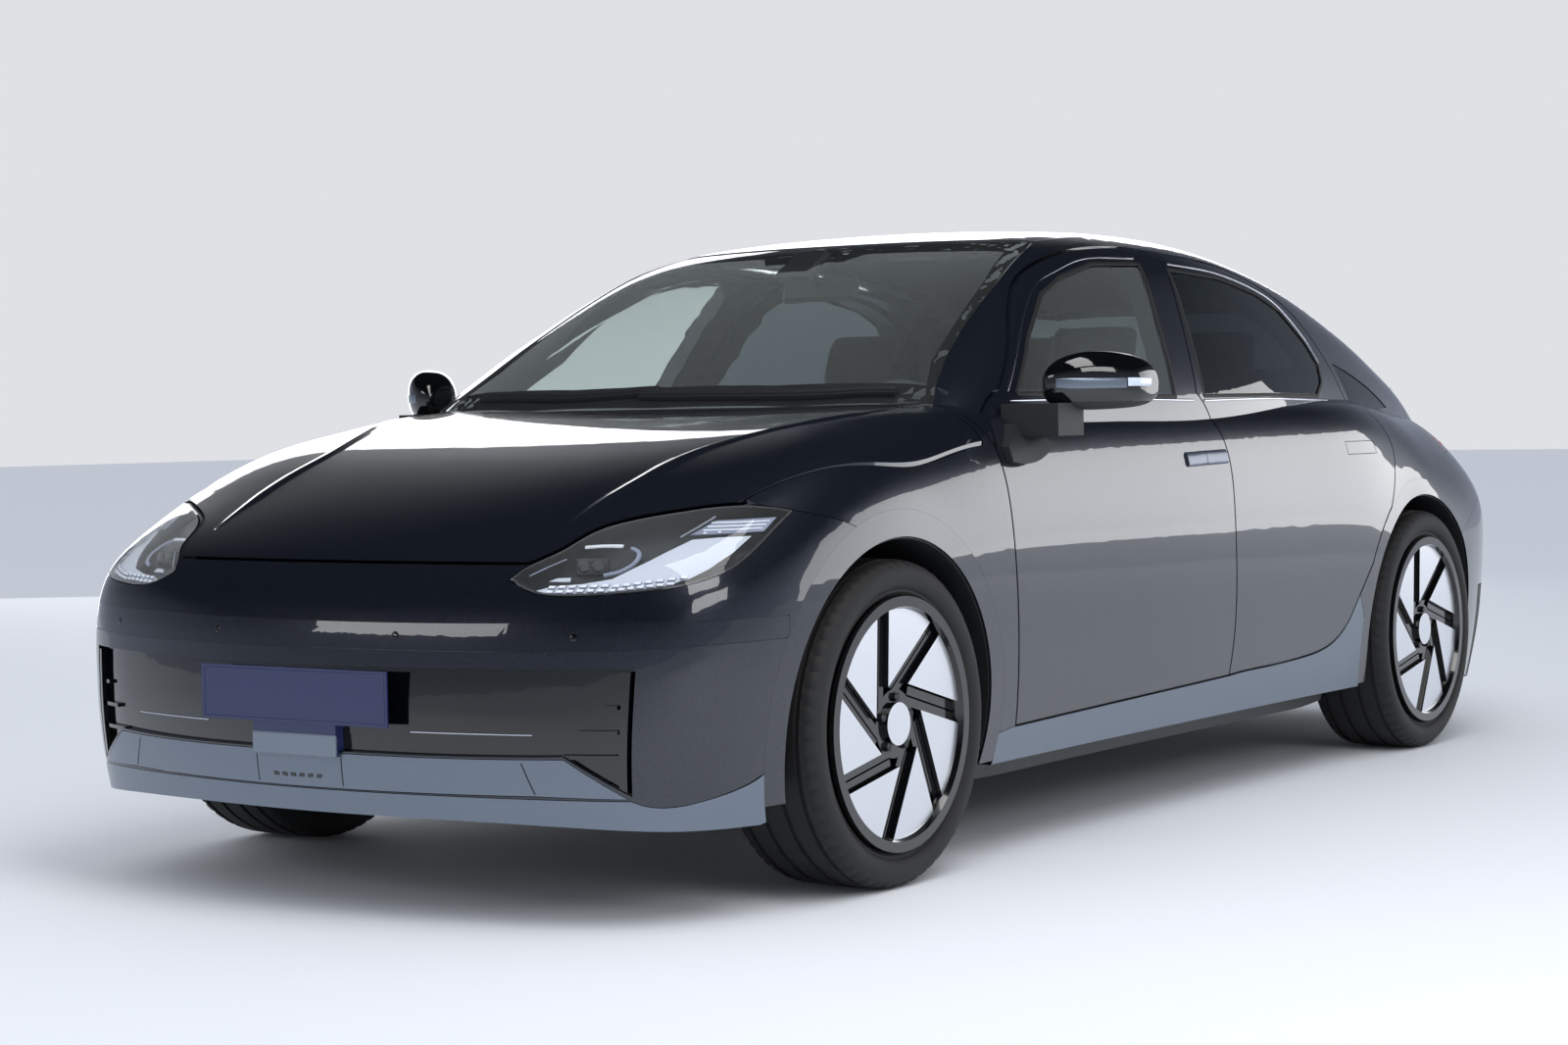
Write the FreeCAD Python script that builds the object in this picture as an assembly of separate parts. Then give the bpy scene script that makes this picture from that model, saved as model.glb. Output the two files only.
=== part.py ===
import FreeCAD, Part
import math
import os

Vec = FreeCAD.Vector

# Driving sizes of the car, in millimetres. X runs across the car to its left side, Y runs
# from the nose (negative) to the tail, Z runs up from the road, and the origin lies on the
# road at the middle of the length.
LENGTH = 4855.0
WIDTH = 1880.0
HEIGHT = 1495.0
WHEELBASE = 2950.0
FRONT_OVERHANG = 885.0
TRACK_FRONT = 1624.0
TRACK_REAR = 1633.0
GROUND_CLEARANCE = 150.0
TYRE_DIAMETER = 704.0
TYRE_WIDTH = 245.0
RIM_DIAMETER = 546.0
ARCH_RADIUS = 400.0

HALF_LENGTH = LENGTH / 2
HALF_WIDTH = WIDTH / 2
FRONT_AXLE_Y = -HALF_LENGTH + FRONT_OVERHANG
REAR_AXLE_Y = FRONT_AXLE_Y + WHEELBASE
TYRE_RADIUS = TYRE_DIAMETER / 2
AXLE_Z = TYRE_RADIUS

# The outer form. Each row gives a place and a value there as shares: places along the car are
# shares of half its length, places across are shares of half its width, and heights are
# shares of its height.
PLAN_SHARES = [(-1.001, 0.745), (-0.927, 0.891), (-0.844, 0.960), (-0.742, 0.9915), (-0.634, 1.002),
               (-0.494, 0.994), (-0.330, 0.984), (0.0, 0.981), (0.288, 0.985), (0.494, 0.998),
               (0.597, 1.004), (0.721, 0.989), (0.824, 0.9415), (0.906, 0.872), (1.001, 0.734)]
FLANK_INSET_SHARES = [(0.100, 0.0585), (0.167, 0.032), (0.268, 0.0128), (0.401, 0.001), (0.482, 0.0),
                      (0.575, 0.0096), (0.635, 0.0234), (0.696, 0.053), (0.736, 0.096)]
HAUNCH_INSET_SHARES = [(0.100, 0.0585), (0.167, 0.032), (0.268, 0.0128), (0.401, 0.001), (0.468, 0.002),
                       (0.507, 0.0234), (0.5465, 0.070), (0.659, 0.2255), (0.736, 0.330)]
HAUNCH_START_SHARE = 0.412
HAUNCH_RUN_SHARE = 0.371
BONNET_LINE_SHARES = [(-1.001, 0.465), (-0.962, 0.487), (-0.906, 0.530), (-0.824, 0.579), (-0.700, 0.634),
                      (-0.577, 0.673), (-0.474, 0.697), (-0.330, 0.7077), (0.0, 0.7157), (0.371, 0.7157),
                      (0.618, 0.709), (0.783, 0.7023), (0.906, 0.6836), (1.001, 0.6475)]
CROWN_DROP_SHARES = [(-1.001, 0.0), (-0.906, -0.010), (-0.700, -0.010), (-0.474, 0.0), (0.0, 0.0134),
                     (0.494, 0.0134), (0.700, 0.020), (1.001, 0.0268)]
CROWN_POWER = 2.2
NOSE_LINE_SHARES = [(0.100, -0.9866), (0.154, -0.9994), (0.221, -0.9936), (0.281, -0.9936), (0.348, -0.9961),
                    (0.401, -0.9907), (0.452, -0.9796), (0.4856, -0.9619), (0.508, -0.9351), (0.5686, -0.8651)]
NOSE_SWEEP_SHARE = 0.1596
NOSE_SWEEP_AT_SHARE = 0.8117
NOSE_POWER = 2.1
TAIL_LINE_SHARES = [(0.100, 0.966), (0.167, 0.9864), (0.2676, 0.9946), (0.401, 0.9987), (0.535, 1.002),
                    (0.642, 1.0057), (0.702, 1.0057)]
TAIL_SWEEP_SHARE = 0.149
TAIL_SWEEP_AT_SHARE = 0.7447
ROOF_LINE_SHARES = [(-0.618, 0.5585), (-0.490, 0.6876), (-0.412, 0.768), (-0.288, 0.8843), (-0.1565, 0.9766),
                    (-0.062, 1.0007), (0.041, 1.0087), (0.165, 1.006), (0.330, 0.983), (0.494, 0.9284),
                    (0.659, 0.8508), (0.783, 0.7786), (0.886, 0.7077), (0.968, 0.6435)]
ROOF_CROWN_SHARE = 0.0405
ROOF_CROWN_AT_SHARE = 0.7447
CABIN_PLAN_SHARES = [(-0.618, 0.819), (-0.453, 0.881), (-0.330, 0.904), (-0.165, 0.904), (0.0, 0.9064),
                     (0.206, 0.8915), (0.371, 0.854), (0.5355, 0.802), (0.700, 0.732), (0.824, 0.666),
                     (0.968, 0.570)]
CABIN_LEAN_SHARE = 0.44
CABIN_CURL_SHARE = 0.18
BELT_SHARE = 0.702
CABIN_TUCK = 40.0
BODY_SOFTNESS = 38.0
CABIN_SOFTNESS = 22.0


def smooth_curve(shares, run, rise):
    """A smooth function through the given places and values."""
    xs = [run * place for place, _ in shares]
    ys = [rise * value for _, value in shares]
    slopes = [(ys[i + 1] - ys[i]) / (xs[i + 1] - xs[i]) for i in range(len(xs) - 1)]
    tangents = [slopes[0]]
    for i in range(1, len(xs) - 1):
        before = xs[i] - xs[i - 1]
        after = xs[i + 1] - xs[i]
        tangents.append((slopes[i - 1] * after + slopes[i] * before) / (before + after))
    tangents.append(slopes[-1])

    def value(x):
        if x <= xs[0]:
            return ys[0] + tangents[0] * (x - xs[0])
        if x >= xs[-1]:
            return ys[-1] + tangents[-1] * (x - xs[-1])
        i = 0
        while x > xs[i + 1]:
            i += 1
        span = xs[i + 1] - xs[i]
        t = (x - xs[i]) / span
        start = (2 * t**3 - 3 * t**2 + 1) * ys[i] + (t**3 - 2 * t**2 + t) * span * tangents[i]
        end = (3 * t**2 - 2 * t**3) * ys[i + 1] + (t**3 - t**2) * span * tangents[i + 1]
        return start + end
    return value


plan_half_width = smooth_curve(PLAN_SHARES, HALF_LENGTH, HALF_WIDTH)
flank_inset = smooth_curve(FLANK_INSET_SHARES, HEIGHT, HALF_WIDTH)
haunch_inset = smooth_curve(HAUNCH_INSET_SHARES, HEIGHT, HALF_WIDTH)
bonnet_line = smooth_curve(BONNET_LINE_SHARES, HALF_LENGTH, HEIGHT)
crown_drop = smooth_curve(CROWN_DROP_SHARES, HALF_LENGTH, HEIGHT)
nose_line = smooth_curve(NOSE_LINE_SHARES, HEIGHT, HALF_LENGTH)
tail_line = smooth_curve(TAIL_LINE_SHARES, HEIGHT, HALF_LENGTH)
roof_line = smooth_curve(ROOF_LINE_SHARES, HALF_LENGTH, HEIGHT)
cabin_plan = smooth_curve(CABIN_PLAN_SHARES, HALF_LENGTH, HALF_WIDTH)


def blended_highest(values, softness):
    top = max(values)
    return top + softness * math.log(sum(math.exp((v - top) / softness) for v in values))


def flank_half_width(y, z):
    share = min(max((y / HALF_LENGTH - HAUNCH_START_SHARE) / HAUNCH_RUN_SHARE, 0.0), 1.0)
    share = share * share * (3 - 2 * share)
    return plan_half_width(y) - flank_inset(z) * (1 - share) - haunch_inset(z) * share


def body_depth(x, y, z, inset):
    """Negative inside the lower body, once its skin is moved in by the inset."""
    across = abs(x)
    width_here = max(plan_half_width(y), HALF_WIDTH / 2)
    deck = bonnet_line(y) - crown_drop(y) * (across / width_here) ** CROWN_POWER
    nose_part = across / (NOSE_SWEEP_AT_SHARE * HALF_WIDTH)
    tail_part = across / (TAIL_SWEEP_AT_SHARE * HALF_WIDTH)
    nose = nose_line(z) + NOSE_SWEEP_SHARE * HALF_WIDTH * nose_part ** NOSE_POWER
    tail = tail_line(z) - TAIL_SWEEP_SHARE * HALF_WIDTH * tail_part ** CROWN_POWER
    sides = [across - flank_half_width(y, z), z - deck, nose - y, y - tail]
    return blended_highest([side + inset for side in sides], BODY_SOFTNESS)


def cabin_depth(x, y, z, inset):
    """Negative inside the cabin above the belt, once its skin is moved in by the inset."""
    across = abs(x)
    rise = max(z - BELT_SHARE * HEIGHT, -CABIN_TUCK)
    lean = CABIN_LEAN_SHARE * rise + CABIN_CURL_SHARE * rise * abs(rise) / HEIGHT
    roof_part = across / (ROOF_CROWN_AT_SHARE * HALF_WIDTH)
    roof = roof_line(y) - ROOF_CROWN_SHARE * HALF_WIDTH * roof_part ** CROWN_POWER
    sides = [across - cabin_plan(y) + lean, z - roof]
    return blended_highest([side + inset for side in sides], CABIN_SOFTNESS)


# How the form is sampled: rows of points along the car, turned about each axle at the ends,
# and rays in each row from one side of the car to the other.
FAN_DEGREES = [-14.0, 0.0, 12.0, 21.0, 28.0, 35.0, 46.0, 66.0]
MIDDLE_ROWS = 12
BODY_RAYS = 29
CABIN_RAYS = 25
SIDE_DIP_DEGREES = 10.0
FAN_DIP_DEGREES = -1.0
CABIN_START_DEGREES = 4.0
BODY_POLE_SHARE = 0.2
CABIN_POLE_SHARE = 0.468
CABIN_STATION_SHARES = [-0.597, -0.536, -0.490, -0.445, -0.395, -0.330, -0.247, -0.165, -0.082, 0.0,
                        0.124, 0.247, 0.371, 0.494, 0.618, 0.742, 0.845, 0.930]
RAY_STEPS = 24


def skin_point(depth, inset, start, direction):
    """Where a ray from inside the form meets its skin, moved in by the inset."""
    near = 0.0
    far = LENGTH
    for _ in range(RAY_STEPS):
        middle = (near + far) / 2
        point = start + direction * middle
        if depth(point.x, point.y, point.z, inset) > 0:
            far = middle
        else:
            near = middle
    return start + direction * near


def clamped_knots(count):
    inner = count - 3
    return [4] + [1] * (inner - 1) + [4], [float(i) for i in range(inner + 1)]


def net_solid(rows):
    """A closed solid under a smooth face that follows the net of points."""
    row_mults, row_knots = clamped_knots(len(rows))
    ray_mults, ray_knots = clamped_knots(len(rows[0]))
    surface = Part.BSplineSurface()
    surface.buildFromPolesMultsKnots(rows, row_mults, ray_mults, row_knots, ray_knots,
                                     False, False, 3, 3)
    left = surface.vIso(ray_knots[0]).toShape()
    right = surface.vIso(ray_knots[-1]).toShape()
    faces = [surface.toShape(), Part.makeRuledSurface(left, right)]
    for knot, row in [(row_knots[0], rows[0]), (row_knots[-1], rows[-1])]:
        end = surface.uIso(knot).toShape()
        faces.append(Part.Face(Part.Wire([end, Part.makeLine(row[0], row[-1])])))
    shell = Part.makeShell(faces)
    shell.sewShape()
    solid = Part.makeSolid(shell)
    if solid.Volume < 0:
        solid.reverse()
    return solid


def ray_angles(dip, count):
    sweep = 180.0 + 2 * dip
    return [math.radians(-dip + sweep * i / (count - 1)) for i in range(count)]


def body_rows(inset):
    stations = [(FRONT_AXLE_Y, turn, FAN_DIP_DEGREES) for turn in FAN_DEGREES]
    for i in range(MIDDLE_ROWS + 1):
        share = min(i, MIDDLE_ROWS - i) * WHEELBASE / MIDDLE_ROWS / ARCH_RADIUS
        share = min(share, 1.0)
        share = share * share * (3 - 2 * share)
        dip = FAN_DIP_DEGREES + (SIDE_DIP_DEGREES - FAN_DIP_DEGREES) * share
        stations.append((FRONT_AXLE_Y + WHEELBASE * i / MIDDLE_ROWS, 90.0, dip))
    stations += [(REAR_AXLE_Y, 180.0 - turn, FAN_DIP_DEGREES) for turn in reversed(FAN_DEGREES)]
    rows = []
    for place, turn, dip in stations:
        start = Vec(0, place, BODY_POLE_SHARE * HEIGHT)
        forward = -math.cos(math.radians(turn))
        rise = math.sin(math.radians(turn))
        row = []
        for angle in ray_angles(dip, BODY_RAYS):
            direction = Vec(math.cos(angle), forward * math.sin(angle), rise * math.sin(angle))
            row.append(skin_point(body_depth, inset, start, direction))
        rows.append(row)
    return rows


def cabin_rows(inset):
    rows = []
    for share in CABIN_STATION_SHARES:
        start = Vec(0, share * HALF_LENGTH, CABIN_POLE_SHARE * HEIGHT)
        row = []
        for angle in ray_angles(-CABIN_START_DEGREES, CABIN_RAYS):
            direction = Vec(math.cos(angle), 0, math.sin(angle))
            row.append(skin_point(cabin_depth, inset, start, direction))
        rows.append(row)
    return rows


made_forms = {}


def body_form(inset):
    if ("body", inset) not in made_forms:
        made_forms["body", inset] = net_solid(body_rows(inset))
    return made_forms["body", inset]


def cabin_form(inset):
    if ("cabin", inset) not in made_forms:
        made_forms["cabin", inset] = net_solid(cabin_rows(inset))
    return made_forms["cabin", inset]


def form(inset):
    """The whole outer form, body and cabin joined, moved in by the inset."""
    if ("whole", inset) not in made_forms:
        made_forms["whole", inset] = body_form(inset).fuse(cabin_form(inset))
    return made_forms["whole", inset]


# Depths under the outer skin, and the gaps between pieces.
PANEL_GAP = 6.0
SEAT_GAP = 0.3
SKIN = 6.0
HOOD_DEPTH = 14.0
LID_DEPTH = 16.0
LIP_DEPTH = 12.0
DOOR_DEPTH = 60.0
TRIM_DEPTH = 104.0
WALL_DEPTH = 96.0
GLASS_SET = 2.5
GLASS_THICKNESS = 5.0
SKIRT_DEPTH = 30.0
RING_DEPTH = 26.0
RECESS = DOOR_DEPTH + PANEL_GAP
DOOR_STEP = 24.0
SEAL_WIDTH = 38.0
TRIM_STEP = 50.0
GLASS_LAP = 8.0
FRONT_RING_WIDTH = 58.0
REAR_RING_WIDTH = 46.0
LINER_THICKNESS = 4.0
WELL_INNER_X = 486.0
CUT_OVERRUN = 60.0

# Outlines of the openings and panels. Side outlines give places along and up, plan outlines
# places across and along, front outlines places across and up, all as shares.
DOOR_LINE_SHARES = [(0.0498, 0.2127), (0.056, 0.3298), (0.0527, 0.5017), (0.0536, 0.5873),
                    (0.0507, 0.6361), (0.0358, 0.691), (0.0264, 0.7064)]
PILLAR_LINE_SHARES = [(0.0264, 0.7064), (0.0618, 0.8294), (0.1018, 0.9610)]
FRONT_EDGE_SHARES = [(-0.4169, 0.198), (-0.4235, 0.3538), (-0.4346, 0.5298), (-0.44, 0.6201)]
MIRROR_EDGE_SHARES = [(-0.44, 0.6201), (-0.4264, 0.6589), (-0.3769, 0.7144)]
FRONT_RAIL_SHARES = [(-0.3769, 0.7144), (-0.3069, 0.8030), (-0.2307, 0.8880), (-0.1607, 0.9310),
                     (-0.0844, 0.9535), (0.0082, 0.9640), (0.1018, 0.9610)]
FRONT_SILL_SHARES = [(0.0498, 0.2127), (-0.206, 0.204), (-0.4169, 0.198)]
REAR_RAIL_SHARES = [(0.1018, 0.9610), (0.2472, 0.9480), (0.3708, 0.9070), (0.4367, 0.8540),
                    (0.4737, 0.7826), (0.4923, 0.709)]
REAR_EDGE_SHARES = [(0.4923, 0.709), (0.5108, 0.6589), (0.5207, 0.612), (0.5055, 0.5552),
                    (0.4729, 0.4776), (0.4325, 0.404), (0.3893, 0.3324), (0.3625, 0.2843)]
REAR_SILL_SHARES = [(0.3625, 0.2843), (0.3213, 0.2421), (0.2472, 0.2221), (0.1483, 0.2167),
                    (0.0498, 0.2127)]
FRONT_WINDOW_SHARES = [[(-0.3502, 0.7104), (-0.2884, 0.7893), (-0.2163, 0.8649), (-0.1565, 0.8997),
                        (-0.0795, 0.9251), (0.0284, 0.9311)],
                       [(0.0284, 0.9311), (0.0, 0.8227), (-0.0276, 0.7037)],
                       [(-0.0276, 0.7037), (-0.1854, 0.709), (-0.3502, 0.7104)]]
REAR_WINDOW_SHARES = [[(0.0461, 0.705), (0.0721, 0.8127), (0.1000, 0.9250)],
                      [(0.1000, 0.9250), (0.2307, 0.9170), (0.3296, 0.8920), (0.3827, 0.8629)],
                      [(0.3827, 0.8629), (0.4243, 0.8027), (0.4375, 0.7625)],
                      [(0.4375, 0.7625), (0.4243, 0.7291), (0.3897, 0.7037)],
                      [(0.3897, 0.7037), (0.2183, 0.7064), (0.0461, 0.705)]]
QUARTER_WINDOW_SHARES = [[(0.5005, 0.7639), (0.5932, 0.7304), (0.6962, 0.6756)],
                         [(0.6962, 0.6756), (0.6097, 0.6742), (0.5199, 0.6756)],
                         [(0.5199, 0.6756), (0.5067, 0.7224), (0.5005, 0.7639)]]
HOOD_SHARES = [[(0.0, -0.9689), (0.266, -0.966), (0.4574, -0.9516), (0.5138, -0.9413)],
               [(0.5138, -0.9413), (0.5574, -0.9207), (0.6021, -0.8795), (0.6468, -0.8568),
                (0.7319, -0.8334), (0.833, -0.8082)],
               [(0.833, -0.8082), (0.8543, -0.7708), (0.9032, -0.7073), (0.9447, -0.6418),
                (0.9532, -0.5532), (0.9447, -0.4581)],
               [(0.9447, -0.4581), (0.7447, -0.4737), (0.4255, -0.491), (0.0, -0.4976)]]
WINDSHIELD_SHARES = [[(0.0, -0.4853), (0.4255, -0.4787), (0.6809, -0.4614), (0.7819, -0.4428)],
                     [(0.7819, -0.4428), (0.735, -0.3955), (0.6659, -0.2472), (0.6127, -0.1442),
                      (0.5861, -0.1079)],
                     [(0.5861, -0.1079), (0.4255, -0.1285), (0.2128, -0.1421), (0.0, -0.1462)]]
ROOF_SHARES = [[(0.0, -0.1462), (0.2128, -0.1421), (0.4255, -0.1285), (0.5861, -0.1079)],
               [(0.5861, -0.1079), (0.5967, 0.0), (0.5914, 0.1648), (0.5722, 0.3296), (0.5382, 0.5108)],
               [(0.5382, 0.5108), (0.3191, 0.5314), (0.0, 0.5376)]]
REAR_GLASS_SHARES = [[(0.0, 0.5376), (0.3191, 0.5314), (0.5382, 0.5108)],
                     [(0.5382, 0.5108), (0.5560, 0.5767), (0.580, 0.6591), (0.5979, 0.7415),
                      (0.6021, 0.7848)],
                     [(0.6021, 0.7848), (0.3191, 0.8033), (0.0, 0.8082)]]
BOOT_SHARES = [[(0.0, 0.8082), (0.3191, 0.8033), (0.6021, 0.7848)],
               [(0.6021, 0.7848), (0.6809, 0.8239), (0.734, 0.8857), (0.7447, 0.9475), (0.7447, 1.06)],
               [(0.7447, 1.06), (0.0, 1.06)]]
BUMPER_LINE_SHARES = [(-0.6756, 0.4963), (-0.7073, 0.5231), (-0.7798, 0.5525), (-0.7889, 0.5565)]
FENDER_TOP_SHARES = [(-0.7889, 0.5565), (-0.7889, 0.7224)]
FENDER_REAR_SHARES = [(-0.4581, 0.7224), (-0.4531, 0.6756), (-0.4461, 0.6455), (-0.44, 0.6201)]
FENDER_REST_SHARES = [[(-0.4169, 0.198), (-0.4531, 0.1906), (-0.6352, 0.1906)],
                      [(-0.6352, 0.1906), (-0.6352, 0.3344)],
                      [(-0.6352, 0.3344), (-0.6756, 0.4963)]]
WALL_ZONE_SHARES = [[(-0.4861, 0.1438), (-0.4861, 1.0435)],
                    [(-0.4861, 1.0435), (1.0216, 1.0435)],
                    [(1.0216, 1.0435), (1.0216, 0.4963)],
                    [(1.0216, 0.4963), (0.8857, 0.4916), (0.8033, 0.4716), (0.7168, 0.4281)],
                    [(0.7168, 0.4281), (0.5796, 0.3344)],
                    [(0.5796, 0.3344), (0.4161, 0.1438)],
                    [(0.4161, 0.1438), (-0.4861, 0.1438)]]
REAR_BUMPER_SHARES = [[(0.7168, 0.4281), (0.8033, 0.4716), (0.8857, 0.4916), (1.0216, 0.4963)],
                      [(1.0216, 0.4963), (1.0216, 0.1070)],
                      [(1.0216, 0.1070), (0.65, 0.1070)],
                      [(0.65, 0.1070), (0.65, 0.36)],
                      [(0.65, 0.36), (0.7168, 0.4281)]]
SKIRT_REST_SHARES = [[(0.3625, 0.2843), (0.3839, 0.3224)],
                     [(0.3839, 0.3224), (0.4058, 0.2408), (0.4161, 0.1438)],
                     [(0.4161, 0.1438), (-0.4531, 0.1438)],
                     [(-0.4531, 0.1438), (-0.4531, 0.1906)],
                     [(-0.4531, 0.1906), (-0.4169, 0.198)]]
HEADLAMP_SHARES = [[(-0.3802, 0.4642), (-0.36, 0.4462), (-0.3399, 0.4421), (-0.3053, 0.4435),
                    (-0.2463, 0.4522), (-0.215, 0.4629), (-0.1981, 0.4736), (-0.1767, 0.499),
                    (-0.1446, 0.5478)],
                   [(-0.1446, 0.5478), (-0.2006, 0.5552), (-0.2472, 0.5465), (-0.2875, 0.5351),
                    (-0.3151, 0.5204), (-0.339, 0.499), (-0.3535, 0.489), (-0.3708, 0.4756),
                    (-0.3802, 0.4642)]]
BAND_SHARES = [[(0.0, 0.3699), (0.4255, 0.3699), (0.8085, 0.3732), (0.984, 0.3786)],
               [(0.984, 0.3786), (0.9915, 0.408)],
               [(0.9915, 0.408), (0.8085, 0.4087), (0.4255, 0.4067), (0.0, 0.406)]]
GRILLE_SHARES = [[(0.0, 0.2294), (0.4255, 0.2294), (0.6617, 0.2321)],
                 [(0.6617, 0.2321), (0.7894, 0.1793)],
                 [(0.7894, 0.1793), (0.8053, 0.3485)],
                 [(0.8053, 0.3485), (0.4255, 0.3465), (0.0, 0.3452)]]
APRON_SHARES = [[(0.0, 0.1766), (0.5957, 0.1779)],
                [(0.5957, 0.1779), (0.7819, 0.1753)],
                [(0.7819, 0.1753), (0.6617, 0.2281)],
                [(0.6617, 0.2281), (0.4255, 0.2261), (0.0, 0.2261)]]
LIP_SHARES = [[(0.0, 0.1418), (0.6383, 0.1371), (1.0213, 0.1191)],
              [(1.0213, 0.1191), (1.0213, 0.2408)],
              [(1.0213, 0.2408), (0.9606, 0.2308), (0.9362, 0.1906), (0.884, 0.1672), (0.7872, 0.1726)],
              [(0.7872, 0.1726), (0.4255, 0.1746), (0.0, 0.1746)]]
TAIL_LAMP_SHARES = [[(0.0, 0.5920), (0.5, 0.5920), (0.95, 0.5720)],
                    [(0.95, 0.5720), (0.95, 0.6120)],
                    [(0.95, 0.6120), (0.5, 0.6290), (0.0, 0.6290)]]
REAR_APRON_SHARES = [[(0.0, 0.1070), (1.02, 0.1070)],
                     [(1.02, 0.1070), (1.02, 0.2900)],
                     [(1.02, 0.2900), (0.82, 0.2840), (0.72, 0.2350), (0.0, 0.2350)]]


def along(share):
    return share * HALF_LENGTH


def across(share):
    return share * HALF_WIDTH


def up(share):
    return share * HEIGHT


def side_points(segments):
    return [[(along(a), up(b)) for a, b in segment] for segment in segments]


def full_outline(half):
    """A whole outline from its half on the car's left side, smooth across the middle."""
    other = [[(-a, b) for a, b in reversed(segment)] for segment in reversed(half)]
    middle = half[-1] + other[0][1:]
    closing = other[-1] + half[0][1:]
    return [closing] + half[1:-1] + [middle] + other[1:-1]


def plan_points(segments):
    return full_outline([[(across(a), along(b)) for a, b in segment] for segment in segments])


def front_points(segments):
    return full_outline([[(across(a), up(b)) for a, b in segment] for segment in segments])


def grown(points, grow):
    """The closed ring of points moved outward by one distance, with mitred corners."""
    count = len(points)
    area = sum(points[i - 1][0] * points[i][1] - points[i][0] * points[i - 1][1] for i in range(count))
    turn = math.copysign(1.0, area)
    moved = []
    for i in range(count):
        normals = []
        for start, end in [(points[i - 1], points[i]), (points[i], points[(i + 1) % count])]:
            run = math.hypot(end[0] - start[0], end[1] - start[1])
            normals.append((turn * (end[1] - start[1]) / run, -turn * (end[0] - start[0]) / run))
        (ax, ay), (bx, by) = normals
        spread = max(1 + ax * bx + ay * by, 0.35)
        moved.append((points[i][0] + grow * (ax + bx) / spread, points[i][1] + grow * (ay + by) / spread))
    return moved


def outline_face(segments, grow, lift):
    """A face inside the segments, each a smooth curve or a straight line, grown outward."""
    ring = []
    counts = []
    for segment in segments:
        ring += segment[:-1]
        counts.append(len(segment) - 1)
    moved = grown(ring, grow)
    moved.append(moved[0])
    edges = []
    first = 0
    for count in counts:
        spots = [lift(a, b) for a, b in moved[first:first + count + 1]]
        if count == 1:
            edges.append(Part.makeLine(spots[0], spots[1]))
        else:
            curve = Part.BSplineCurve()
            curve.interpolate(spots)
            edges.append(curve.toShape())
        first += count
    return Part.Face(Part.Wire(edges))


INNER_X_SHARE = 0.22
OUTER_X_SHARE = 1.16


def side_prism(segments, grow, start=INNER_X_SHARE * HALF_WIDTH):
    """A block through the car's left side with the given outline in side view."""
    face = outline_face(segments, grow, lambda a, b: Vec(start, a, b))
    return face.extrude(Vec(across(OUTER_X_SHARE) - start, 0, 0))


PLAN_LOW_SHARE = 0.45
PLAN_HIGH_SHARE = 1.08
HOOD_LOW_SHARE = 0.4856


def plan_prism(segments, grow, low=PLAN_LOW_SHARE):
    """A block through the top of the car with the given outline seen from above."""
    face = outline_face(segments, grow, lambda a, b: Vec(a, b, up(low)))
    return face.extrude(Vec(0, 0, up(PLAN_HIGH_SHARE - low)))


def front_prism(segments, grow, start, reach):
    """A block along the car with the given outline seen from the front."""
    face = outline_face(segments, grow, lambda a, b: Vec(a, start, b))
    return face.extrude(Vec(0, reach, 0))


def box(low, high):
    return Part.makeBox(high[0] - low[0], high[1] - low[1], high[2] - low[2], Vec(*low))


def cylinder_x(x_low, x_high, y, z, radius):
    return Part.makeCylinder(radius, x_high - x_low, Vec(x_low, y, z), Vec(1, 0, 0))


def mirrored(shape):
    return shape.mirror(Vec(0, 0, 0), Vec(1, 0, 0))


def both_sides(shape):
    return Part.makeCompound(solids_of(shape) + solids_of(mirrored(shape)))


def solids_of(shape):
    return list(shape.Solids)


def layer(zone, outer, inner, make=form):
    """The part of the zone that lies between two depths under the skin."""
    piece = zone.common(make(outer))
    if make is form:
        return piece.cut([body_form(inner), cabin_form(inner)])
    return piece.cut(make(inner))


def outside(zone, inner, make=form):
    """The part of the zone that lies outside a depth under the skin."""
    if make is form:
        return zone.cut([body_form(inner), cabin_form(inner)])
    return zone.cut(make(inner))


FRONT_DOOR = side_points([FRONT_EDGE_SHARES, MIRROR_EDGE_SHARES, FRONT_RAIL_SHARES,
                          PILLAR_LINE_SHARES[::-1], DOOR_LINE_SHARES[::-1], FRONT_SILL_SHARES])
REAR_DOOR = side_points([DOOR_LINE_SHARES, PILLAR_LINE_SHARES, REAR_RAIL_SHARES, REAR_EDGE_SHARES,
                         REAR_SILL_SHARES])
FRONT_WINDOW = side_points(FRONT_WINDOW_SHARES)
REAR_WINDOW = side_points(REAR_WINDOW_SHARES)
QUARTER_WINDOW = side_points(QUARTER_WINDOW_SHARES)
HOOD = plan_points(HOOD_SHARES)
WINDSHIELD = plan_points(WINDSHIELD_SHARES)
ROOF = plan_points(ROOF_SHARES)
REAR_GLASS = plan_points(REAR_GLASS_SHARES)
BOOT = plan_points(BOOT_SHARES)

HALF_GAP = PANEL_GAP / 2
FRONT_RING_RADIUS = ARCH_RADIUS + FRONT_RING_WIDTH
REAR_RING_RADIUS = ARCH_RADIUS + REAR_RING_WIDTH


def arch_bore(axle_y, radius):
    return cylinder_x(WELL_INNER_X, across(OUTER_X_SHARE), axle_y, AXLE_Z, radius)


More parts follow.
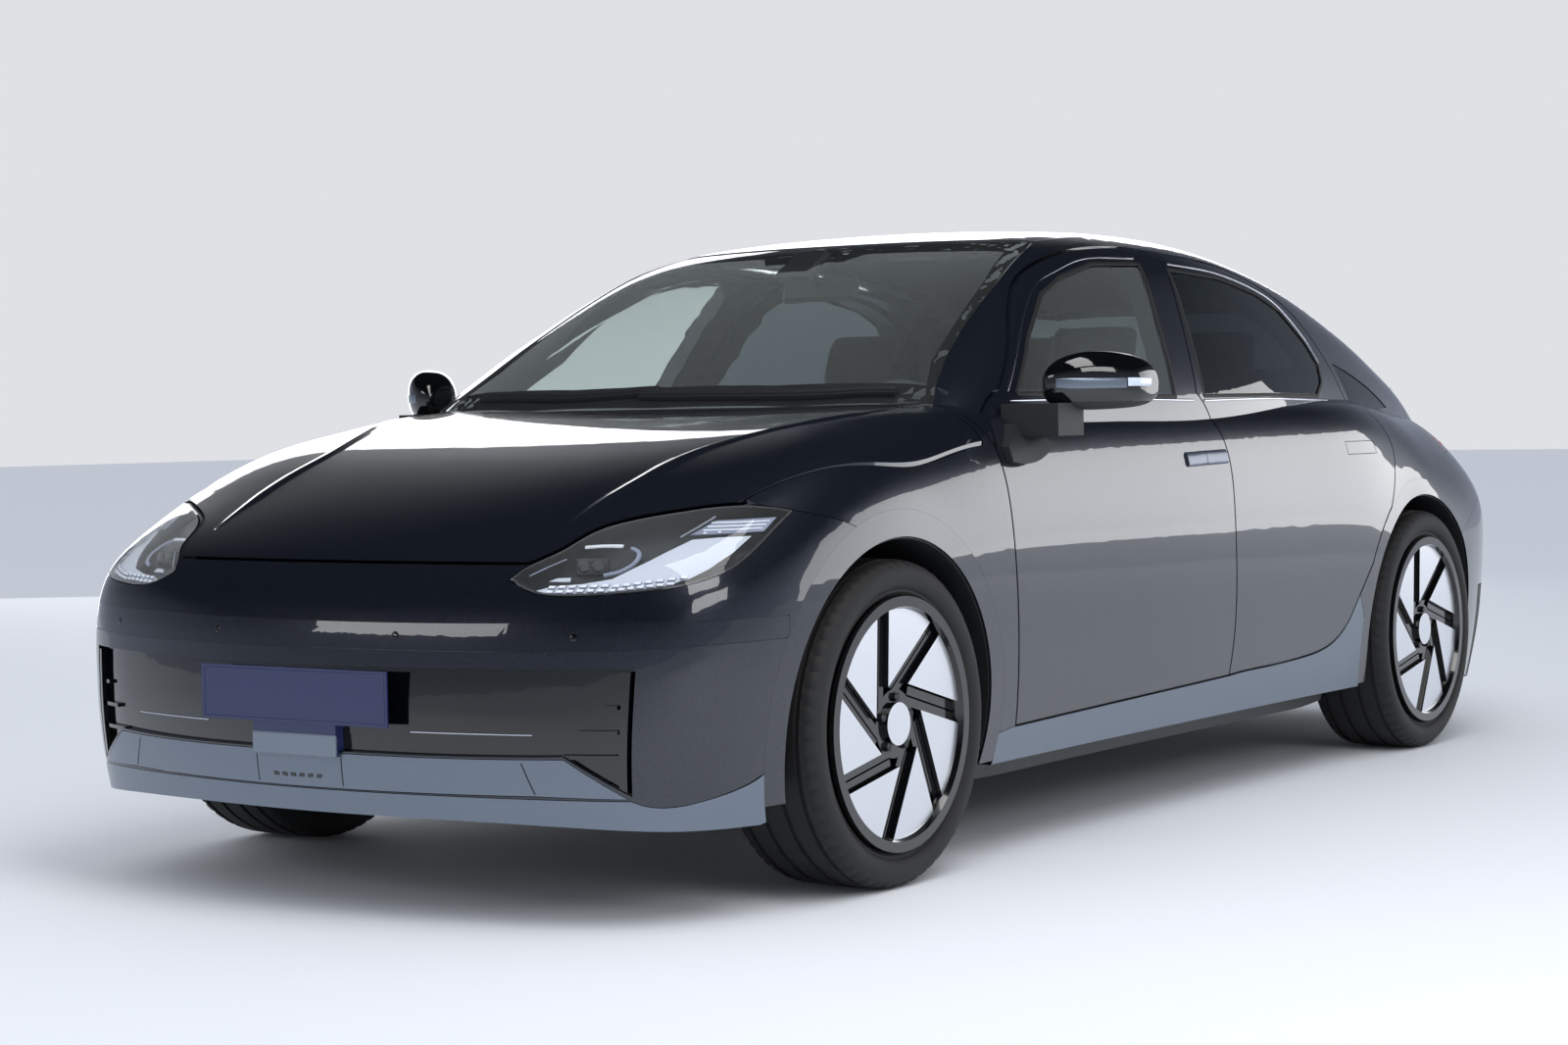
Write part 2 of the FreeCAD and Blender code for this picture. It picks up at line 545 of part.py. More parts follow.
def door_shell(door, window):
    """One door of the left side: outer panel and frame, and its body stepped in behind them."""
    panel = layer(side_prism(door, -HALF_GAP), 0.0, LIP_DEPTH)
    body = layer(side_prism(door, -HALF_GAP - DOOR_STEP), LIP_DEPTH - SEAT_GAP, DOOR_DEPTH)
    shell = panel.fuse(body)
    opening = side_prism(window, 0)
    glass_seat = side_prism(window, GLASS_LAP + SEAT_GAP)
    glass_seat = layer(glass_seat, GLASS_SET - SEAT_GAP, GLASS_SET + GLASS_THICKNESS + SEAT_GAP, cabin_form)
    return shell.cut([opening, glass_seat])


def door_glass(window):
    return layer(side_prism(window, GLASS_LAP), GLASS_SET, GLASS_SET + GLASS_THICKNESS, cabin_form)


FENDER = side_points([FENDER_REAR_SHARES, FRONT_EDGE_SHARES[::-1]] + FENDER_REST_SHARES
                     + [BUMPER_LINE_SHARES, FENDER_TOP_SHARES, [FENDER_TOP_SHARES[-1], FENDER_REAR_SHARES[0]]])
SKIRT = side_points([FRONT_SILL_SHARES[::-1], REAR_SILL_SHARES[::-1]] + SKIRT_REST_SHARES)
WALL_ZONE = side_points(WALL_ZONE_SHARES)
REAR_BUMPER = side_points(REAR_BUMPER_SHARES)
HEADLAMP = side_points(HEADLAMP_SHARES)
BAND = front_points(BAND_SHARES)
GRILLE = front_points(GRILLE_SHARES)
APRON = front_points(APRON_SHARES)
LIP = front_points(LIP_SHARES)
TAIL_LAMP = front_points(TAIL_LAMP_SHARES)
REAR_APRON = front_points(REAR_APRON_SHARES)

JOINT_GAP = 1.6
HALF_JOINT = JOINT_GAP / 2
NOSE_START_Y = -HALF_LENGTH - CUT_OVERRUN
NOSE_REACH = FRONT_OVERHANG - ARCH_RADIUS + CUT_OVERRUN
TAIL_START_Y = HALF_LENGTH + CUT_OVERRUN
LAMP_TURN = math.radians(35.0)
LAMP_REACH_SHARE = 1.45


def lamp_prism(grow):
    """A block through the left front corner with the headlamp's outline, seen from that corner."""
    sideways = Vec(math.cos(LAMP_TURN), math.sin(LAMP_TURN), 0)
    forward = Vec(math.sin(LAMP_TURN), -math.cos(LAMP_TURN), 0)
    face = outline_face(HEADLAMP, grow, lambda a, b: sideways * a + forward * HALF_WIDTH + Vec(0, 0, b))
    return face.extrude(forward * HALF_WIDTH * LAMP_REACH_SHARE)


def headlamps():
    """Clear lenses in the body skin, and the open lamp bodies that they close."""
    lens = layer(lamp_prism(-HALF_JOINT), 0.0, LENS_THICKNESS, body_form)
    shell = layer(lamp_prism(LAMP_FLANGE), SKIN + SEAT_GAP, LAMP_DEPTH, body_form)
    shell = shell.cut(outside(plan_prism(HOOD, PANEL_GAP), HOOD_DEPTH + PANEL_GAP, body_form))
    hollow = layer(lamp_prism(-LAMP_WALL), SKIN, LAMP_DEPTH - LAMP_WALL, body_form)
    rim = layer(lamp_prism(-HALF_JOINT), LENS_THICKNESS + SEAT_GAP, LAMP_DEPTH, body_form)
    rim = rim.cut(layer(lamp_prism(-LAMP_WALL), 0.0, LAMP_DEPTH - LAMP_WALL, body_form))
    return both_sides(lens), both_sides(shell.cut(hollow).fuse(rim))


LENS_THICKNESS = 3.0
LAMP_FLANGE = 8.0
LAMP_WALL = 4.0
LAMP_DEPTH = 62.0


def fenders():
    skin = layer(side_prism(FENDER, -HALF_JOINT), 0.0, SKIN, body_form)
    skin = skin.cut([plan_prism(HOOD, HALF_GAP), lamp_prism(HALF_JOINT), side_prism(FRONT_DOOR, HALF_GAP),
                     arch_bore(FRONT_AXLE_Y, FRONT_RING_RADIUS + SEAT_GAP), cabin_form(0.0),
                     cowl_zone(SEAT_GAP)])
    return both_sides(largest(skin))


def largest(shape):
    return max(shape.Solids, key=lambda solid: solid.Volume)


def front_bumper():
    """The painted bumper skin, with its band, grille and lower apron cut out of it."""
    low_front = (-OUTER_X_SHARE * HALF_WIDTH, NOSE_START_Y, up(PLAN_HIGH_SHARE - 1))
    zone = box(low_front, (OUTER_X_SHARE * HALF_WIDTH, along(BUMPER_LINE_SHARES[0][0]), up(PLAN_LOW_SHARE * 1.3)))
    skin = layer(zone, 0.0, SKIN, body_form)
    fender = side_prism(FENDER, HALF_JOINT)
    lamp = lamp_prism(HALF_JOINT)
    bore = arch_bore(FRONT_AXLE_Y, FRONT_RING_RADIUS + SEAT_GAP)
    hood_room = plan_prism(HOOD, HALF_GAP, HOOD_LOW_SHARE - PANEL_GAP / HEIGHT)
    skin = skin.cut([hood_room, fender, mirrored(fender), lamp, mirrored(lamp), bore, mirrored(bore)])
    openings = [front_prism(points, HALF_JOINT, NOSE_START_Y, NOSE_REACH)
                for points in (GRILLE, APRON, LIP)]
    openings.append(outside(front_prism(BAND, HALF_JOINT, NOSE_START_Y, NOSE_REACH), BAND_DEPTH + SEAT_GAP,
                            body_form))
    return largest(skin.cut(openings))


BAND_SET = 0.6
BAND_DEPTH = 3.0
TRAY_LAP = 12.0
GRILLE_SET = 16.0
GRILLE_DEPTH = 24.0
LAP_THICKNESS = 4.0
LIP_DEPTH_BACK = 26.0
APRON_BACK = SKIN + SEAT_GAP + LAP_THICKNESS
SLAT_THICKNESS = 8.0
SLAT_SHARES = [(0.655, 0.2280), (0.690, 0.2610), (0.740, 0.2940)]
FIN_SHARES = [[(0.7680, 0.1900), (0.7820, 0.1840)],
              [(0.7820, 0.1840), (0.7970, 0.3440)],
              [(0.7970, 0.3440), (0.7830, 0.3440)],
              [(0.7830, 0.3440), (0.7680, 0.1900)]]


def front_trims():
    """The sensor band, the grille tray, the grey apron and the lip under the nose."""
    bore = arch_bore(FRONT_AXLE_Y, FRONT_RING_RADIUS + SEAT_GAP)
    bores = [bore, mirrored(bore)]
    band = layer(front_prism(BAND, -HALF_JOINT, NOSE_START_Y, NOSE_REACH), BAND_SET, BAND_DEPTH, body_form)
    band = band.cut(bores)
    tray = layer(front_prism(GRILLE, TRAY_LAP, NOSE_START_Y, NOSE_REACH), SKIN + SEAT_GAP, GRILLE_DEPTH,
                 body_form)
    tray = tray.cut([layer(front_prism(GRILLE, 0, NOSE_START_Y, NOSE_REACH), 0.0, GRILLE_SET, body_form),
                     front_prism(LIP, HALF_JOINT, NOSE_START_Y, NOSE_REACH)])
    fin = front_prism([[(across(a), up(b)) for a, b in segment] for segment in FIN_SHARES], 0, NOSE_START_Y,
                      NOSE_REACH)
    pieces = solids_of(both_sides(layer(fin, 0.0, GRILLE_SET + SEAT_GAP, body_form)))
    for inner, height in SLAT_SHARES:
        slat = box((across(inner), NOSE_START_Y, up(height)),
                   (across(FIN_SHARES[0][0][0]), NOSE_START_Y + NOSE_REACH, up(height) + SLAT_THICKNESS))
        pieces += solids_of(both_sides(layer(slat, SKIN, GRILLE_SET + SEAT_GAP, body_form)))
    tray = tray.fuse(pieces)
    apron = layer(front_prism(APRON, -HALF_JOINT, NOSE_START_Y, NOSE_REACH), 0.0, SKIN, body_form)
    lip = layer(front_prism(LIP, -HALF_JOINT, NOSE_START_Y, NOSE_REACH), 0.0, LIP_DEPTH_BACK, body_form)
    lip = lip.cut(bores)
    return band, tray, apron, lip


def hood():
    """The hood's panel, cut clear of the headlamps."""
    panel = layer(plan_prism(HOOD, -HALF_GAP, HOOD_LOW_SHARE), 0.0, HOOD_DEPTH, body_form)
    lamp = lamp_prism(PANEL_GAP)
    return largest(panel.cut([lamp, mirrored(lamp)]))


def windshield():
    return largest(layer(plan_prism(WINDSHIELD, -HALF_JOINT, GLASS_LOW_SHARE), GLASS_SET,
                         GLASS_SET + GLASS_THICKNESS, cabin_form))


def rear_glass():
    return largest(layer(plan_prism(REAR_GLASS, -HALF_GAP, GLASS_LOW_SHARE), GLASS_SET,
                         GLASS_SET + GLASS_THICKNESS, cabin_form))


GLASS_LOW_SHARE = 0.668
ROOF_DEPTH = 30.0


def roof_panel():
    return layer(plan_prism(ROOF, -HALF_JOINT), 0.0, ROOF_DEPTH, cabin_form)


def boot_lid():
    lid = layer(plan_prism(BOOT, -HALF_GAP), 0.0, LID_DEPTH)
    low = box((-HALF_WIDTH, 0, 0), (HALF_WIDTH, LENGTH, up(BOOT_BOTTOM_SHARE)))
    lamp = outside(front_prism(TAIL_LAMP, HALF_JOINT, TAIL_START_Y, -NOSE_REACH), LAMP_BAR_DEPTH, body_form)
    return largest(lid.cut([low, lamp]))


BOOT_BOTTOM_SHARE = 0.500
LAMP_BAR_DEPTH = 10.0


FRONT_STRIKER = ((700.0, 88.5, 700.0), (1000.0, 101.0, 760.0))
REAR_STRIKER = ((700.0, 1223.5, 880.0), (1000.0, 1235.5, 930.0))


def body_side():
    """The left wall of the body: pillars, roof rail, sill and rear quarter in one.

    Behind each door's rear edge a striker pad stands in the recess for the closed door."""
    glass_back = GLASS_SET + GLASS_THICKNESS + SEAT_GAP
    wall = layer(side_prism(WALL_ZONE, 0, SEAT_GAP / 2), 0.0, WALL_DEPTH)
    fender_room = side_prism(FENDER, HALF_GAP)
    tools = [outside(fender_room, SKIN + SEAT_GAP)]
    for outline in (FRONT_DOOR, REAR_DOOR):
        tools.append(outside(side_prism(outline, HALF_GAP), RECESS))
        tools.append(side_prism(outline, -HALF_GAP - SEAL_WIDTH))
    tools.append(outside(side_prism(SKIRT, HALF_JOINT), SKIRT_DEPTH + SEAT_GAP, body_form))
    tools.append(outside(side_prism(QUARTER_WINDOW, HALF_JOINT), glass_back, cabin_form))
    tools.append(side_prism(QUARTER_WINDOW, -GLASS_LAP))
    tools.append(arch_bore(REAR_AXLE_Y, REAR_RING_RADIUS + SEAT_GAP))
    tools.append(arch_bore(FRONT_AXLE_Y, FRONT_RING_RADIUS + SEAT_GAP))
    for outline, depth, make in ((WINDSHIELD, glass_back, cabin_form), (ROOF, ROOF_DEPTH + SEAT_GAP, cabin_form),
                                 (REAR_GLASS, glass_back, cabin_form),
                                 (BOOT, LID_DEPTH + SEAT_GAP, form)):
        tools.append(plan_prism(outline, -FLANGE_WIDTH))
        tools.append(outside(plan_prism(outline, HALF_GAP), depth, make))
    (head_x, _), (head_front, head_rear) = HEADER_ROOM_SHARES
    header_room = box((0, along(head_front), up(BELT_SHARE)), (across(head_x), along(head_rear), HEIGHT))
    tools.append(header_room.common(cabin_form(HEADER_DEPTH)))
    tools.append(plan_prism(HOOD, PANEL_GAP))
    tools.append(outside(cowl_zone(SEAT_GAP), glass_back, cabin_form))
    tools.append(outside(front_prism(TAIL_LAMP, HALF_JOINT, TAIL_START_Y, -NOSE_REACH), LAMP_BAR_DEPTH,
                         body_form))
    for tool in tools:
        wall = wall.cut(tool)
    pads = [layer(box(low, high), DOOR_DEPTH + SEAT_GAP, RECESS + SEAT_GAP, body_form)
            for low, high in (FRONT_STRIKER, REAR_STRIKER)]
    return largest(wall.fuse(pads))


FLANGE_WIDTH = 26.0
HEADER_DEPTH = 44.0
HEADER_ROOM_SHARES = [(0.500, 0.0), (-0.38, 0.70)]


def quarter_glass():
    return layer(side_prism(QUARTER_WINDOW, -HALF_JOINT), GLASS_SET, GLASS_SET + GLASS_THICKNESS, cabin_form)


def side_skirts():
    skirt = layer(side_prism(SKIRT, -HALF_JOINT), 0.0, SKIRT_DEPTH, body_form)
    skirt = skirt.cut([side_prism(FRONT_DOOR, HALF_GAP), side_prism(REAR_DOOR, HALF_GAP),
                       arch_bore(FRONT_AXLE_Y, FRONT_RING_RADIUS + SEAT_GAP),
                       arch_bore(REAR_AXLE_Y, REAR_RING_RADIUS + SEAT_GAP)])
    return both_sides(largest(skirt))


def arch_rings():
    """The dark lips round the four wheel openings."""
    rings = []
    for axle_y, radius in ((FRONT_AXLE_Y, FRONT_RING_RADIUS), (REAR_AXLE_Y, REAR_RING_RADIUS)):
        ring = arch_bore(axle_y, radius).cut(arch_bore(axle_y, ARCH_RADIUS))
        low = box((0, axle_y - WHEELBASE / 2, 0), (WIDTH, axle_y + WHEELBASE / 2, up(RING_LOW_SHARE)))
        ring = ring.cut(low)
        rings += solids_of(both_sides(layer(ring, 0.0, RING_DEPTH, body_form)))
    return Part.makeCompound(rings)


RING_LOW_SHARE = 0.150


def wheel_liners():
    """Thin tubs over the four wheels, open to the wheel and to the suspension arms."""
    liners = []
    for axle_y in (FRONT_AXLE_Y, REAR_AXLE_Y):
        outer = arch_bore(axle_y, ARCH_RADIUS - SEAT_GAP)
        inner = arch_bore(axle_y, ARCH_RADIUS - SEAT_GAP - LINER_THICKNESS)
        tub = outer.cut(inner)
        wall = outer.common(box((WELL_INNER_X, axle_y - ARCH_RADIUS, 0),
                                (WELL_INNER_X + LINER_THICKNESS, axle_y + ARCH_RADIUS, HEIGHT)))
        slot = box((0, axle_y - ARM_HALF_WIDTH - PANEL_GAP, 0),
                   (WELL_INNER_X + PANEL_GAP, axle_y + ARM_HALF_WIDTH + PANEL_GAP,
                    FRONT_DAMPER_TOP_Z + PANEL_GAP))
        low = box((0, axle_y - WHEELBASE / 2, 0), (WIDTH, axle_y + WHEELBASE / 2, up(LINER_LOW_SHARE)))
        tub = tub.fuse(wall).cut([low, slot]).common(body_form(SKIN + SEAT_GAP))
        liners += solids_of(both_sides(largest(tub)))
    return Part.makeCompound(liners)


LINER_LOW_SHARE = 0.17


def rear_bumper():
    """The painted rear bumper, with the dark apron cut out below it."""
    zone = side_prism_wide(REAR_BUMPER, -HALF_JOINT)
    skin = layer(zone, 0.0, SKIN, body_form)
    bore = arch_bore(REAR_AXLE_Y, REAR_RING_RADIUS + SEAT_GAP)
    lid = box((-across(BOOT_SHARES[1][-1][0]) - HALF_GAP, AXLE_Z, up(BOOT_BOTTOM_SHARE) - PANEL_GAP),
              (across(BOOT_SHARES[1][-1][0]) + HALF_GAP, LENGTH, HEIGHT))
    apron = front_prism(REAR_APRON, HALF_JOINT, TAIL_START_Y, -NOSE_REACH)
    return largest(skin.cut([bore, mirrored(bore), lid, apron]))


def side_prism_wide(segments, grow):
    start = -across(OUTER_X_SHARE)
    face = outline_face(segments, grow, lambda a, b: Vec(start, a, b))
    return face.extrude(Vec(-2 * start, 0, 0))


def rear_apron():
    """The dark lower rear moulding, with a lap behind the painted bumper."""
    zone = side_prism_wide(REAR_BUMPER, -HALF_JOINT)
    face = zone.common(front_prism(REAR_APRON, -HALF_JOINT, TAIL_START_Y, -NOSE_REACH))
    lap = zone.common(front_prism(REAR_APRON, TRAY_LAP, TAIL_START_Y, -NOSE_REACH))
    apron = layer(face, 0.0, APRON_BACK, body_form)
    apron = apron.fuse(layer(lap, APRON_BACK - LAP_THICKNESS, APRON_BACK, body_form))
    bore = arch_bore(REAR_AXLE_Y, REAR_RING_RADIUS + SEAT_GAP)
    return largest(apron.cut([bore, mirrored(bore)]))


def tail_lamps():
    """The full-width tail lamp, split into a middle on the lid and an end on each side."""
    bar = layer(front_prism(TAIL_LAMP, -HALF_JOINT, TAIL_START_Y, -NOSE_REACH), 0.0,
                LAMP_BAR_DEPTH - SEAT_GAP, body_form)
    middle = bar.common(plan_prism(BOOT, -HALF_GAP))
    ends = bar.cut(plan_prism(BOOT, HALF_GAP))
    return largest(middle), ends


TRIM_TOP_SHARE = 0.690
TRIM_INNER_X = 760.0


def door(outline, window):
    """A door of the left side with its inner trim panel."""
    shell = door_shell(outline, window)
    zone = side_prism(outline, -HALF_GAP - TRIM_STEP)
    low = box((TRIM_INNER_X, -HALF_LENGTH, 0), (WIDTH, HALF_LENGTH, up(TRIM_TOP_SHARE)))
    trim = layer(zone.common(low), DOOR_DEPTH, TRIM_DEPTH)
    return shell.fuse(trim)


# Wheels, turned about an axle line that points out of the car's left side.
TYRE_BEAD_RADIUS = 258.0
TYRE_WALL = 11.0
TREAD_SHARES = [(-0.895, 0.0), (-0.895, 0.18), (-0.965, 0.30), (-1.0, 0.52), (-0.965, 0.75), (-0.86, 0.90),
                (-0.66, 0.98), (-0.33, 1.0), (0.33, 1.0), (0.66, 0.98), (0.86, 0.90), (0.965, 0.75),
                (1.0, 0.52), (0.965, 0.30), (0.895, 0.18), (0.895, 0.0)]
BEAD_WIDTH_SHARE = 0.90
RIM_WALL = 7.0
RIM_WELL_RADIUS = 232.0
RIM_LIP = 12.0
RIM_OUTER_OFFSET = 110.0
RIM_INNER_OFFSET = -108.0
HUB_FACE_OFFSET = 98.0
HUB_RADIUS = 74.0
HUB_BACK_OFFSET = 20.0
HUB_BORE_RADIUS = 31.0
BLADE_COUNT = 7
BLADE_THICKNESS = 16.0
SPOKE_ROOT_RADIUS = 75.0
CHANNEL_HALF_WIDTH = 23.0
CAP_RADIUS = 46.0
BLADE_TIP_RADIUS = 246.0
SPOKE_HALF_WIDTH = 9.5
SPOKE_HALF_SPLIT = 11.5
TWIST_DEGREES = -48.0
DISC_RADIUS = 172.0
DISC_THICKNESS = 28.0
DISC_OFFSET = -14.0


def turned(profile, centre_x, centre_y):
    """A ring turned about the axle line from (offset, radius) points."""
    points = [Vec(centre_x + offset, centre_y, AXLE_Z + radius) for offset, radius in profile]
    face = Part.Face(Part.makePolygon(points + [points[0]]))
    return face.revolve(Vec(centre_x, centre_y, AXLE_Z), Vec(1, 0, 0), 360)


def tyre(centre_x, centre_y):
    half = TYRE_WIDTH / 2
    height = TYRE_RADIUS - TYRE_BEAD_RADIUS
    outer = [(half * a, TYRE_BEAD_RADIUS + height * b) for a, b in TREAD_SHARES]
    inner = [(a * (half - TYRE_WALL) / half, max(r - TYRE_WALL, TYRE_BEAD_RADIUS))
             for a, r in reversed(outer)]
    inner = [point for i, point in enumerate(inner) if i == 0 or point != inner[i - 1]]
    return turned(outer + inner, centre_x, centre_y)


def rim(centre_x, centre_y):
    """The wheel's barrel, hub and dark twin spokes, with the brake disc behind them."""
    bead = TYRE_BEAD_RADIUS - SEAT_GAP
    half = TYRE_WIDTH / 2 * BEAD_WIDTH_SHARE
    lip = RIM_DIAMETER / 2
    barrel = turned([(-half - RIM_LIP, lip), (-half, lip), (-half, bead), (half - RIM_LIP, bead), (half, bead),
                     (half, lip), (half + RIM_LIP, lip), (half + RIM_LIP, bead - RIM_WALL),
                     (half - RIM_WALL, bead - 2 * RIM_WALL), (RIM_LIP, RIM_WELL_RADIUS),
                     (-half, RIM_WELL_RADIUS + RIM_WALL), (-half - RIM_LIP, bead - RIM_WALL)],
                    centre_x, centre_y)
    hub = cylinder_x(centre_x + HUB_BACK_OFFSET, centre_x + HUB_FACE_OFFSET, centre_y, AXLE_Z, HUB_RADIUS)
    face_x = centre_x + HUB_FACE_OFFSET - BLADE_THICKNESS
    spokes = []
    for i in range(BLADE_COUNT):
        turn = 360.0 / BLADE_COUNT * i
        for side in (-1, 1):
            spokes.append(bar(face_x, BLADE_THICKNESS, centre_y, turn, side * SPOKE_HALF_SPLIT))
    carrier = hub.fuse(spokes)
    disc = cylinder_x(centre_x + DISC_OFFSET, centre_x + DISC_OFFSET + DISC_THICKNESS, centre_y, AXLE_Z,
                      DISC_RADIUS)
    hat = cylinder_x(centre_x + DISC_OFFSET, centre_x + HUB_BACK_OFFSET, centre_y, AXLE_Z, HUB_RADIUS)
    bore = cylinder_x(centre_x + RIM_INNER_OFFSET, centre_x + HUB_BACK_OFFSET, centre_y, AXLE_Z, HUB_BORE_RADIUS)
    return barrel.fuse([carrier, disc, hat]).cut(bore)


def spoke_line(face_x, centre_y, degrees, shift):
    """The ends of a spoke's straight line, which passes beside the hub's centre."""
    start = about_axle(face_x, centre_y, SPOKE_ROOT_RADIUS, degrees - TWIST_DEGREES)
    end = about_axle(face_x, centre_y, RIM_DIAMETER / 2 - RIM_LIP - RIM_WALL, degrees)
    run = (end - start).normalize()
    side = Vec(0, -run.z, run.y)
    return start + side * shift, end + side * shift, side


def bar(face_x, thickness, centre_y, degrees, shift):
    """One of a spoke's two flat bars, from the hub to the barrel."""
    start, end, side = spoke_line(face_x, centre_y, degrees, shift)
    half = side * SPOKE_HALF_WIDTH
    corners = [start + half, end + half, end - half, start - half, start + half]
    return Part.Face(Part.makePolygon(corners)).extrude(Vec(thickness, 0, 0))


def blades(centre_x, centre_y):
    """The seven bright blades, thin plates set between the dark spokes."""
    face_x = centre_x + HUB_FACE_OFFSET - SPOKE_LAP
    plates = []
    for i in range(BLADE_COUNT):
        turn = 360.0 / BLADE_COUNT * i
        start, end, side = spoke_line(face_x, centre_y, turn, CHANNEL_HALF_WIDTH)
        next_start, next_end, next_side = spoke_line(face_x, centre_y, turn + 360.0 / BLADE_COUNT,
                                                     -CHANNEL_HALF_WIDTH)
        reach = (end - start).normalize() * BLADE_TIP_RADIUS
        wedge = [crossing(start, end - start, next_start, next_end - next_start)]
        wedge += [wedge[0] + reach, wedge[0] + (next_end - next_start).normalize() * BLADE_TIP_RADIUS, wedge[0]]
        plates.append(Part.Face(Part.makePolygon(wedge)).extrude(Vec(BLADE_THICKNESS, 0, 0)))
    disc = cylinder_x(face_x, face_x + BLADE_THICKNESS, centre_y, AXLE_Z, BLADE_TIP_RADIUS)
    cap = cylinder_x(face_x, face_x + BLADE_THICKNESS, centre_y, AXLE_Z, CAP_RADIUS)
    return cap.fuse([plate.common(disc) for plate in plates])


def crossing(start, run, other_start, other_run):
    """Where two lines in one plane square to the axle meet."""
    gap = other_start - start
    share = (gap.y * other_run.z - gap.z * other_run.y) / (run.y * other_run.z - run.z * other_run.y)
    return start + run * share


def about_axle(x, centre_y, radius, degrees):
    """A point at a radius and an angle about a wheel's axle line."""
    angle = math.radians(degrees)
    return Vec(x, centre_y + radius * math.cos(angle), AXLE_Z + radius * math.sin(angle))


SPOKE_LAP = 4.0

KINGPIN_X = 760.0
SPINDLE_RADIUS = HUB_BORE_RADIUS - SEAT_GAP
KNUCKLE_THICKNESS = 40.0
KNUCKLE_HALF_HEIGHT = 144.0
ARM_HEIGHT = 150.0
KNUCKLE_HALF_LENGTH = 46.0
CALIPER_LENGTH = 150.0
CALIPER_DEPTH = 60.0
CALIPER_THICKNESS = 84.0
CALIPER_GAP = 2.0
PIN_RADIUS = 14.0


def knuckle(centre_x, centre_y, forward):
    """The upright inside a wheel, with its spindle, brake caliper and two joint pins."""
    x_low = KINGPIN_X - KNUCKLE_THICKNESS / 2
    x_high = KINGPIN_X + KNUCKLE_THICKNESS / 2
    body = box((x_low, centre_y - KNUCKLE_HALF_LENGTH, AXLE_Z - KNUCKLE_HALF_HEIGHT),
               (x_high, centre_y + KNUCKLE_HALF_LENGTH, AXLE_Z + KNUCKLE_HALF_HEIGHT))
    spindle = cylinder_x(x_high - SEAT_GAP, centre_x + HUB_BACK_OFFSET - SEAT_GAP, centre_y, AXLE_Z,
                         SPINDLE_RADIUS)
    middle = centre_x + DISC_OFFSET + DISC_THICKNESS / 2
    caliper_y = centre_y + forward * (DISC_RADIUS - CALIPER_DEPTH / 2)
    caliper = box((middle - CALIPER_THICKNESS / 2, caliper_y - CALIPER_DEPTH / 2, AXLE_Z - CALIPER_LENGTH / 2),
                  (middle + CALIPER_THICKNESS / 2, caliper_y + CALIPER_DEPTH / 2, AXLE_Z + CALIPER_LENGTH / 2))
    slot = cylinder_x(middle - DISC_THICKNESS / 2 - CALIPER_GAP, middle + DISC_THICKNESS / 2 + CALIPER_GAP,
                      centre_y, AXLE_Z, DISC_RADIUS + CALIPER_GAP)
    inner = cylinder_x(x_high, centre_x + HUB_FACE_OFFSET, centre_y, AXLE_Z, HUB_RADIUS + CALIPER_GAP)
    caliper = caliper.cut([slot, inner])
    low_y = min(centre_y, caliper_y)
    bracket = box((x_low, low_y, AXLE_Z - KNUCKLE_HALF_LENGTH),
                  (middle - CALIPER_THICKNESS / 2 + CALIPER_GAP, low_y + abs(caliper_y - centre_y),
                   AXLE_Z + KNUCKLE_HALF_LENGTH))
    bracket = bracket.cut(slot)
    reach = ARM_HEIGHT + ARM_THICKNESS
    pin = Part.makeCylinder(PIN_RADIUS, 2 * reach, Vec(KINGPIN_X, centre_y, AXLE_Z - reach))
    return body.fuse([spindle, caliper, bracket, pin])


ARM_THICKNESS = 26.0
ARM_HALF_WIDTH = 24.0
ARM_INNER_X = 330.0
SUBFRAME_HALF_LENGTH = 210.0
SUBFRAME_HALF_WIDTH = 360.0
SUBFRAME_THICKNESS = 60.0
SUBFRAME_LOW_Z = 170.0
DAMPER_X = 560.0
DAMPER_RADIUS = 32.0
FRONT_DAMPER_TOP_Z = 700.0
REAR_DAMPER_TOP_Z = 588.0
MOTOR_LENGTH = 330.0
MOTOR_RADIUS = 130.0


